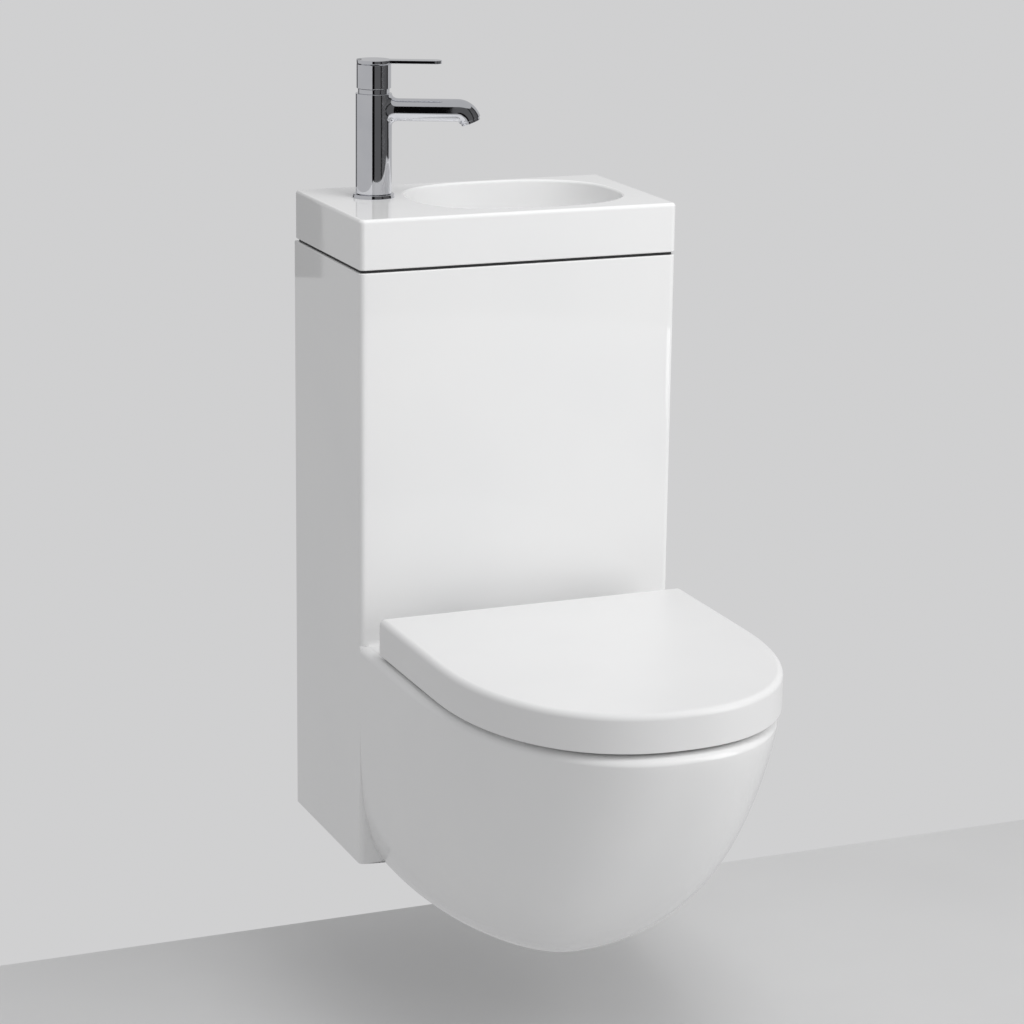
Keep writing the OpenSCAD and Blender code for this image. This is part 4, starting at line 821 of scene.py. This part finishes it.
SEAT_HOLE_R = 9.0
SEAT_POINTS = 120
LID_HOLLOW_POINTS = 96


def lid_ring(inset, zz, m=SEAT_POINTS):
    w, yf = LID_HALF - inset, -LID_REACH + inset
    return d_ring(w, -LID_MID, yf, LID_POWER, -LID_BACK - inset, zz, m, LID_CORNER_R - inset * 0.6)


def seat_ring(inset, zz):
    w, yf = LID_HALF - SEAT_IN - inset, -LID_REACH + SEAT_IN + inset
    corner = SEAT_CORNER_R - inset * 0.4
    return d_ring(w, -LID_MID, yf, LID_POWER, -SEAT_BACK - inset, zz, SEAT_POINTS, corner)


def hinge_rod(name, x, half, r, m=64):
    """A rod on the hinge's axis, which reaches half to either side of x."""
    return rod(name, (x - half, -HINGE_Y, HINGE_Z), (x + half, -HINGE_Y, HINGE_Z), r, m)


def pin_bores(piece):
    for s in SIDES:
        carve(piece, hinge_rod("pin bore", s * HINGE_X, 45, HINGE_BORE_R, 48))


def add_lug(piece, name, x, y0, y1, z0, z1):
    """Welds a hinge lug to the piece, with the web between it and the panel."""
    lug = hinge_rod(name, x, LUG_W / 2, BARREL_R)
    weld(lug, block(name + " web", x - LUG_W / 2, x + LUG_W / 2, y0, y1, z0, z1))
    weld(piece, lug)


def make_lid():
    rings = [lid_ring(draw, LID_Z + up) for draw, up in ((1.2, 0.9), (0.9, 1.0), (0.35, 1.3), (0, 2.0))]
    rings += [lid_ring(draw, LID_TOP - LID_EDGE + up) for draw, up in quarter(LID_EDGE, 9)]
    piece = skin("lid_piece", rings)
    inner_top = LID_TOP - LID_WALL - LID_INNER_R
    inner = [lid_ring(LID_WALL, LID_Z - 1, LID_HOLLOW_POINTS)]
    for draw, up in quarter(LID_INNER_R, 15):
        inner.append(lid_ring(LID_WALL + draw, inner_top + up, LID_HOLLOW_POINTS))
    carve(piece, skin("lid hollow", inner))
    for s in SIDES:
        x = s * HINGE_X
        carve(piece, block("hinge notch", x - NOTCH_HALF, x + NOTCH_HALF, -NOTCH_FRONT, -NOTCH_BACK,
                           LID_Z - 1, HINGE_Z + 10))
    for s in SIDES:
        add_lug(piece, "lid lug", s * (HINGE_X - LUG_STEP), -HINGE_Y - 7, -HINGE_Y + 5, HINGE_Z, LID_TOP - 4)
    pin_bores(piece)
    smooth(piece, CREASE)
    return done(piece, "lid", "seat_white", "lid")


def make_seat():
    rings = [seat_ring(draw, SEAT_Z + up) for draw, up in ((2, 0), (1.2, 0.25), (0.3, 1.0), (0, 2))]
    rings += [seat_ring(draw, SEAT_TOP - SEAT_EDGE + up) for draw, up in quarter(SEAT_EDGE, 9)]
    piece = skin("seat_piece", rings)
    hole = [(3, SEAT_Z - 0.5), (3, SEAT_Z), (1, SEAT_Z + 1), (0, SEAT_Z + 3), (0, SEAT_TOP - SEAT_HOLE_R)]
    for out, up in quarter(1.0, 9, 9):
        hole.append((SEAT_HOLE_W * out, SEAT_TOP - SEAT_HOLE_R + SEAT_HOLE_R * up))
    hole.append((SEAT_HOLE_W, SEAT_TOP + 1))
    opening = []
    for out, zz in hole:
        a, b = SEAT_HOLE_A + out, SEAT_HOLE_B + out
        opening.append(oval(0, -MOUTH_Y, a, b, SEAT_HOLE_POWER, zz, SEAT_POINTS))
    carve(piece, skin("seat opening", opening))
    low = HINGE_Z - BARREL_R + 1
    for s in SIDES:
        add_lug(piece, "seat lug", s * (HINGE_X + LUG_STEP), -HINGE_Y - 20, -HINGE_Y, low, HINGE_Z + 1)
    pin_bores(piece)
    smooth(piece, CREASE)
    return done(piece, "seat", "seat_white", "seat")


make_lid()
make_seat()


# The tap
TAP_TURN = radians(-22.5)
TAP_R = 19.5
TAP_BODY_H = 111.5
TAP_START = 4.5
SHANK_R = 16.5
SHANK_L = 46.0
POCKET_R = 14.4
POCKET_H = 38.0
HOSE_Y = 7.0
HOSE_BORE_R = 4.2
FOOT_IN_R = 16.8
FOOT_R = 23.0
FOOT_RING_H = 4.0
FOOT_LEAN = 12
NECK_R = 17.0
NECK_IN_R = 5.5
NECK_H = 5.0
CAP_R = 18.6
CAP_H = 25.5
CAP_UP = TAP_BODY_H + NECK_H + 0.5
LEVER_UP = CAP_UP + CAP_H + 0.9
LEVER_T = 3.7
LEVER_END = 65.0
LEVER_HALF = 7.5
PIN_X = -16.4
PIN_R = 0.9
PIN_UP = 1.2
PIN_IN_CAP = LEVER_UP - CAP_UP + PIN_UP
CAP_LUG_R = 3.4
CAP_LUG_HALF = 2.5
CAP_LUG_TOP = 28.3
CAP_GROOVE_R = CAP_R - 2.6
CAP_GROOVE_IN_R = 8.0
CAP_GROOVE_DEPTH = 10.0
STEM_BORE_R = 5.02
STEM_BORE_L = 12.0
LEVER_EDGE = 0.55
LEVER_FOOT_R = 2.5
LEVER_FOOT_L = 6.0
LEVER_NOTCH_L = 5.6
LEVER_NOTCH_HALF = 2.8
AERATOR_R = 10.6
AERATOR_IN_R = 7.2
AERATOR_H = 3.0
AXIS_R = 0.001
SPOUT_H = 94.0
SPOUT_REACH = 89.2
SPOUT_R = 12.0
SPOUT_BORE_R = 8.0
SPOUT_BEND = radians(68.0)
SPOUT_BEND_R = 14.0
SPOUT_TIP = 1.5
ROOT_GROW = 5.5
ROOT_L = 8.0


def tap_place(zz):
    """The move from the tap's own frame, which has the spout along X, to its place at a height."""
    def place(p):
        x, y, h = p
        across = TAP_X + x * cos(TAP_TURN) - y * sin(TAP_TURN)
        return (across, -TAP_Y + x * sin(TAP_TURN) + y * cos(TAP_TURN), zz + h)
    return place


ON_DECK = tap_place(DECK_Z)


def spout_centre(a, past=0.0):
    """The spout's middle where it has bent down by the angle a, or past mm beyond that along its axis."""
    x = SPOUT_REACH + SPOUT_BEND_R * sin(a) + past * cos(a)
    return x, SPOUT_H - SPOUT_BEND_R * (1 - cos(a)) - past * sin(a)


def tube_ring(r, centre, tilt, m):
    x, h = centre
    turns = [2 * pi * j / m for j in range(m)]
    return [(x + r * cos(t) * sin(tilt), r * sin(t), h + r * cos(t) * cos(tilt)) for t in turns]


def bend_rings(r, m):
    angles = [SPOUT_BEND * i / 16 for i in range(17)]
    return [tube_ring(r, spout_centre(a), a, m) for a in angles]


def root_rings(r, m):
    """Rings of the spout's flared root, which runs out of the body's round side."""
    flare, knee, tube = [], [], []
    for i in range(m):
        a = 2 * pi * i / m
        y, h = (r + ROOT_GROW) * sin(a), (r + ROOT_GROW) * cos(a)
        flare.append((sqrt(TAP_R ** 2 - y ** 2), y, h))
        y, h = r * sin(a), r * cos(a)
        x = sqrt(TAP_R ** 2 - y ** 2)
        knee.append((x, y, h))
        tube.append((x + ROOT_L, y, h))
    rings = [[(2.0, y, h) for x, y, h in flare], [(x - 0.35, y, h) for x, y, h in flare]]
    for i in range(1, 11):
        rings.append([tuple(bent(p, q, s, i / 10) for p, q, s in zip(pa, pb, pc))
                      for pa, pb, pc in zip(flare, knee, tube)])
    return [[(x, y, SPOUT_H + h) for x, y, h in ring] for ring in rings]


def spout_outside():
    rings = root_rings(SPOUT_R, 96) + bend_rings(SPOUT_R, 96)
    for back, draw in ((0.5, 0.0), (0.15, 0.15), (0.0, 0.5)):
        rings.append(tube_ring(SPOUT_R - draw, spout_centre(SPOUT_BEND, SPOUT_TIP - back), SPOUT_BEND, 96))
    return skin("spout", rings, turn=ON_DECK)


def spout_bore():
    rings = [tube_ring(SPOUT_BORE_R, (10.0, SPOUT_H), 0.0, 64)] + bend_rings(SPOUT_BORE_R, 64)
    rings.append(tube_ring(SPOUT_BORE_R, spout_centre(SPOUT_BEND, 2 * SPOUT_TIP), SPOUT_BEND, 64))
    return skin("spout", rings, turn=ON_DECK)


def make_tap_body():
    profile = [(SHANK_R, -SHANK_L), (SHANK_R, TAP_START), (TAP_R - 0.5, TAP_START)]
    profile += arc(TAP_R - 0.5, TAP_START + 0.5, 0.5, -90, 0, 4)
    profile += arc(TAP_R - 0.6, TAP_BODY_H - 0.6, 0.6, 0, 90, 5)
    piece = turned("tap_body_piece", profile, 128, ON_DECK)
    weld(piece, spout_outside())
    pocket = [(POCKET_R, TAP_BODY_H - POCKET_H), (POCKET_R, TAP_BODY_H + 1)]
    carve(piece, turned("cartridge pocket", pocket, 96, ON_DECK), spout_bore())
    low, high = -SHANK_L - 1, TAP_BODY_H - POCKET_H + 1
    for s in SIDES:
        carve(piece, rod("hose bore", (0, s * HOSE_Y, low), (0, s * HOSE_Y, high), HOSE_BORE_R, 48, ON_DECK))
    smooth(piece, CREASE)
    return done(piece, "fixed_body", "chrome", "tap_body")


def chrome_ring(name, profile, m, place, node):
    piece = smooth(turned(name, profile, m, place, hollow=True), RING_CREASE)
    return done(piece, "fixed_body", "chrome", node)


def make_foot_ring():
    # its side leans inwards a little, so that it mirrors the dark studio and not the deck
    profile = [(FOOT_IN_R, 0.0), (FOOT_R - 0.5, 0.0)] + arc(FOOT_R - 0.4, 0.4, 0.4, -90, FOOT_LEAN, 4)[1:]
    profile += arc(FOOT_R - 1.5, FOOT_RING_H - 0.8, 0.8, FOOT_LEAN, 90, 6) + [(FOOT_IN_R, FOOT_RING_H)]
    return chrome_ring("tap_foot_piece", profile, 128, ON_DECK, "tap_foot_ring")


def make_neck_ring():
    r = NECK_R - 0.3
    profile = [(NECK_IN_R, 0.0), (r, 0.0)] + arc(r, 0.3, 0.3, -90, 0, 2)[1:]
    profile += arc(r, NECK_H - 0.3, 0.3, 0, 90, 2) + [(NECK_IN_R, NECK_H)]
    return chrome_ring("tap_neck_piece", profile, 96, tap_place(DECK_Z + TAP_BODY_H), "tap_neck_ring")


def make_tap_cap():
    on_neck = tap_place(DECK_Z + CAP_UP)
    profile = [(AXIS_R, 0.0)] + arc(CAP_R - 0.5, 0.5, 0.5, -90, 0, 4)
    profile += arc(CAP_R - 0.3, CAP_H - 0.3, 0.3, 0, 90, 3) + [(AXIS_R, CAP_H)]
    piece = turned("tap_cap_piece", profile, 128, on_neck)
    lug = rod("cap lug", (PIN_X, -CAP_LUG_HALF, PIN_IN_CAP), (PIN_X, CAP_LUG_HALF, PIN_IN_CAP), CAP_LUG_R, 48,
              on_neck)
    trim = block("lug trim", 0.8 - CAP_R, 5 - CAP_R, -4, 4, CAP_H - 1, CAP_LUG_TOP, on_neck)
    weld(piece, carve(lug, trim, how="INTERSECT"))
    groove = [(CAP_GROOVE_IN_R, -1), (CAP_GROOVE_R, -1), (CAP_GROOVE_R, CAP_GROOVE_DEPTH),
              (CAP_GROOVE_IN_R, CAP_GROOVE_DEPTH)]
    carve(piece, turned("stem bore", [(STEM_BORE_R, -1), (STEM_BORE_R, STEM_BORE_L)], 64, on_neck),
          turned("cap groove", groove, 96, on_neck, hollow=True),
          block("cap pocket", -3.4, 6.1, -3.4, 3.4, CAP_H - 7, CAP_H + 1, on_neck),
          rod("pin bore", (PIN_X, -10, PIN_IN_CAP), (PIN_X, 10, PIN_IN_CAP), PIN_R + 0.06, 32, on_neck))
    smooth(piece, CREASE)
    return done(piece, "tap_turning_cap", "chrome", "tap_cap")


def make_tap_lever():
    on_cap = tap_place(DECK_Z + LEVER_UP)
    start = degrees(asin(LEVER_HALF / CAP_R))
    outline = arc(0.0, 0.0, CAP_R, start, 360 - start, 90) + arc(LEVER_END, 0.0, LEVER_HALF, -90, 90, 30)
    piece = skin("tap_lever_piece", [at(outline, 0.0), at(outline, LEVER_T)], turn=on_cap)
    soften(piece, LEVER_EDGE, 3)
    weld(piece, turned("lever foot", [(LEVER_FOOT_R, -LEVER_FOOT_L), (LEVER_FOOT_R, 1)], 48, on_cap))
    carve(piece, block("lever notch", -CAP_R - 1, LEVER_NOTCH_L - CAP_R, -LEVER_NOTCH_HALF, LEVER_NOTCH_HALF,
                       -1, LEVER_T + 1, on_cap),
          rod("pin bore", (PIN_X, -9, PIN_UP), (PIN_X, 9, PIN_UP), PIN_R, 32, on_cap))
    smooth(piece, CREASE)
    return done(piece, "tap_lever", "chrome", "tap_lever")


def make_aerator():
    x, h = spout_centre(SPOUT_BEND, SPOUT_TIP)
    out = Vector((cos(SPOUT_BEND), 0, -sin(SPOUT_BEND)))
    up = Vector((sin(SPOUT_BEND), 0, cos(SPOUT_BEND)))

    def on_tip(p):
        return ON_DECK(Vector((x, p[1], h)) + up * p[0] + out * p[2])

    profile = [(AERATOR_IN_R, 0.0), (AERATOR_R - 0.2, 0.0), (AERATOR_R, 0.2)]
    profile += arc(AERATOR_R - 0.4, AERATOR_H - 0.4, 0.4, 0, 90, 3)
    profile += [(8.6, AERATOR_H), (7.9, AERATOR_H - 0.6), (AERATOR_IN_R, AERATOR_H - 0.8)]
    return chrome_ring("tap_aerator_piece", profile, 96, on_tip, "tap_aerator")


make_tap_body()
make_foot_ring()
make_neck_ring()
make_tap_cap()
make_tap_lever()
make_aerator()


# Small parts with their edges eased, and the width of the rounding in mm
EASED = {
    "button_frame": 0.8,
    "button_large": 0.5,
    "button_small": 0.5,
    "waste_flange": 0.6,
    "waste_plug": 0.8,
    "cistern_lid": 1.2,
    "top_brackets": 0.4,
    "trap_bottle": 0.8,
}


def eased(node, width):
    """A copy of a CAD node with its facets joined up and its sharp edges rounded inwards by width mm."""
    part = next(p for p in frame["record"]["subparts"] if p["node"] == node)
    body = next(b for b, nodes in frame["record"]["behaviour"]["bodies"].items() if node in nodes)
    piece = bpy.data.objects.new(node + "_piece", frame["nodes"][node].data.copy())
    bpy.context.scene.collection.objects.link(piece)
    take(piece)
    bpy.ops.object.mode_set(mode="EDIT")
    bpy.ops.mesh.select_all(action="SELECT")
    bpy.ops.mesh.remove_doubles(threshold=SAME_COPIED_POINT)
    bpy.ops.mesh.dissolve_limited(angle_limit=radians(0.5))
    bpy.ops.object.mode_set(mode="OBJECT")
    smooth(soften(piece, width, 2, 35.0), EASED_CREASE)
    return done(piece, body, part["material_slot"], node)


for small, width in EASED.items():
    eased(small, width)


# Floor, camera and light, in metres
FLOOR_HALF = 2.6
FLOOR_FRONT = 4.6
CAMERA_AT = (-1.2535, -3.2130, 1.0789)
CAMERA_YAW = radians(22.557)
CAMERA_PITCH = radians(14.959)
CAMERA_ROLL = radians(0.746)
CAMERA_LENS = 110.08
CAMERA_SENSOR = 36.0
CAMERA_SEES = 60.0
WORLD_SEEN = (0.63, 0.63, 0.635, 1)
WORLD_LIT = (0.515, 0.515, 0.52, 1)
CARD_STEPS = 24
CARD_COOLER = 1.015
CARD_AWAY = 0.5
CARD_LOW = 0.36
CARD_HIGH = 1.05


def make_floor():
    nothing_selected()
    bpy.ops.mesh.primitive_plane_add(size=1.0)
    ground = bpy.context.object
    ground.name = "studio_floor"
    for v in ground.data.vertices:
        x = FLOOR_HALF if v.co.x > 0 else -FLOOR_HALF
        v.co = (x, 0.0 if v.co.y > 0 else -FLOOR_FRONT, z(FLOOR_H) * MM)
    paint = Paint("pale floor")
    paint.tint(paint.noise(3.0), (0.66, 0.66, 0.66), (0.69, 0.69, 0.69))
    paint.vary(paint.noise(9.0), 0.5, 0.6)
    ground.data.materials.append(paint.material)
    ground.visible_glossy = False


def make_camera():
    flat = cos(CAMERA_PITCH)
    look = Vector((sin(CAMERA_YAW) * flat, cos(CAMERA_YAW) * flat, -sin(CAMERA_PITCH)))
    level = Vector((cos(CAMERA_YAW), -sin(CAMERA_YAW), 0.0))
    steep = level.cross(look)
    right = level * cos(CAMERA_ROLL) + steep * sin(CAMERA_ROLL)
    up = -level * sin(CAMERA_ROLL) + steep * cos(CAMERA_ROLL)
    data = bpy.data.cameras.new("camera")
    data.lens = CAMERA_LENS
    data.sensor_width = CAMERA_SENSOR
    data.clip_end = CAMERA_SEES
    camera = bpy.data.objects.new("camera", data)
    bpy.context.scene.collection.objects.link(camera)
    camera.matrix_world = Matrix.Translation(CAMERA_AT) @ Matrix((right, up, -look)).transposed().to_4x4()
    bpy.context.scene.camera = camera


def softbox(name, where, towards, size, watts, mirrored_too=True):
    """A square soft light. The pieces mirror it only if mirrored_too is true."""
    data = bpy.data.lights.new(name, "AREA")
    data.shape = "RECTANGLE"
    data.size = size
    data.size_y = size
    data.energy = watts
    light = bpy.data.objects.new(name, data)
    bpy.context.scene.collection.objects.link(light)
    light.location = where
    light.rotation_euler = (Vector(towards) - Vector(where)).to_track_quat("-Z", "Y").to_euler()
    light.visible_glossy = mirrored_too


def card(name, a0, a1, away, low, high, tone):
    """A card that only reflections see, upright and bent round the tap from angle a0 to a1, away from it."""
    nothing_selected()
    bpy.ops.mesh.primitive_grid_add(x_subdivisions=CARD_STEPS, y_subdivisions=1, size=1.0)
    sheet = bpy.context.object
    sheet.name = name
    for v in sheet.data.vertices:
        a = radians(a0 + (a1 - a0) * (v.co.x + 0.5))
        v.co = (TAP_X * MM + away * sin(a), -TAP_Y * MM - away * cos(a), high if v.co.y > 0 else low)
    mat = bpy.data.materials.new(name + " paint")
    mat.use_nodes = True
    nodes, links = mat.node_tree.nodes, mat.node_tree.links
    nodes.clear()
    out = nodes.new("ShaderNodeOutputMaterial")
    glow = nodes.new("ShaderNodeEmission")
    glow.inputs["Color"].default_value = (tone, tone, tone * CARD_COOLER, 1.0)
    links.new(glow.outputs["Emission"], out.inputs["Surface"])
    mat.cycles.emission_sampling = "NONE"
    sheet.data.materials.append(mat)
    for seen_by in ("camera", "diffuse", "shadow", "transmission", "volume_scatter"):
        setattr(sheet, "visible_" + seen_by, False)


def make_world():
    """A plain grey surround, somewhat lighter to the camera than to the pieces."""
    world = bpy.data.worlds.new("studio")
    world.use_nodes = True
    bpy.context.scene.world = world
    nodes, links = world.node_tree.nodes, world.node_tree.links
    nodes.clear()
    out = nodes.new("ShaderNodeOutputWorld")
    path = nodes.new("ShaderNodeLightPath")
    seen = nodes.new("ShaderNodeBackground")
    lit = nodes.new("ShaderNodeBackground")
    mix = nodes.new("ShaderNodeMixShader")
    seen.inputs["Color"].default_value = WORLD_SEEN
    lit.inputs["Color"].default_value = WORLD_LIT
    links.new(path.outputs["Is Camera Ray"], mix.inputs["Fac"])
    links.new(lit.outputs["Background"], mix.inputs[1])
    links.new(seen.outputs["Background"], mix.inputs[2])
    links.new(mix.outputs["Shader"], out.inputs["Surface"])
    bpy.context.scene.view_settings.view_transform = "Standard"


make_floor()
make_camera()
softbox("front right softbox", (2.2, -2.5, 2.1), (0, -0.3, 0.2), 1.8, 19)
softbox("right softbox", (2.0, -2.3, 0.35), (0, -0.3, 0.1), 1.4, 16)
softbox("top softbox", (0.3, -0.9, 2.9), (0.0, -0.3, 0.0), 1.6, 16, False)
softbox("basin softbox", (0.15, -0.75, 1.55), (0.04, -0.08, 0.52), 0.5, 4.5, False)
# what the chrome mirrors in front of it and to its right: a dark studio
for name, a0, a1, tone in (("black card", -29, -14, 0.003), ("dark card", -14, 25, 0.11),
                           ("dark card seam", 25, 35, 0.02), ("second dark card", 35, 75, 0.095),
                           ("dark card edge", 75, 88, 0.03)):
    card(name, a0, a1, CARD_AWAY, CARD_LOW, CARD_HIGH, tone)
card("thin card", -165, -148, 0.3, 0.40, 1.0, 0.08)
make_world()

bpy.context.view_layer.update()
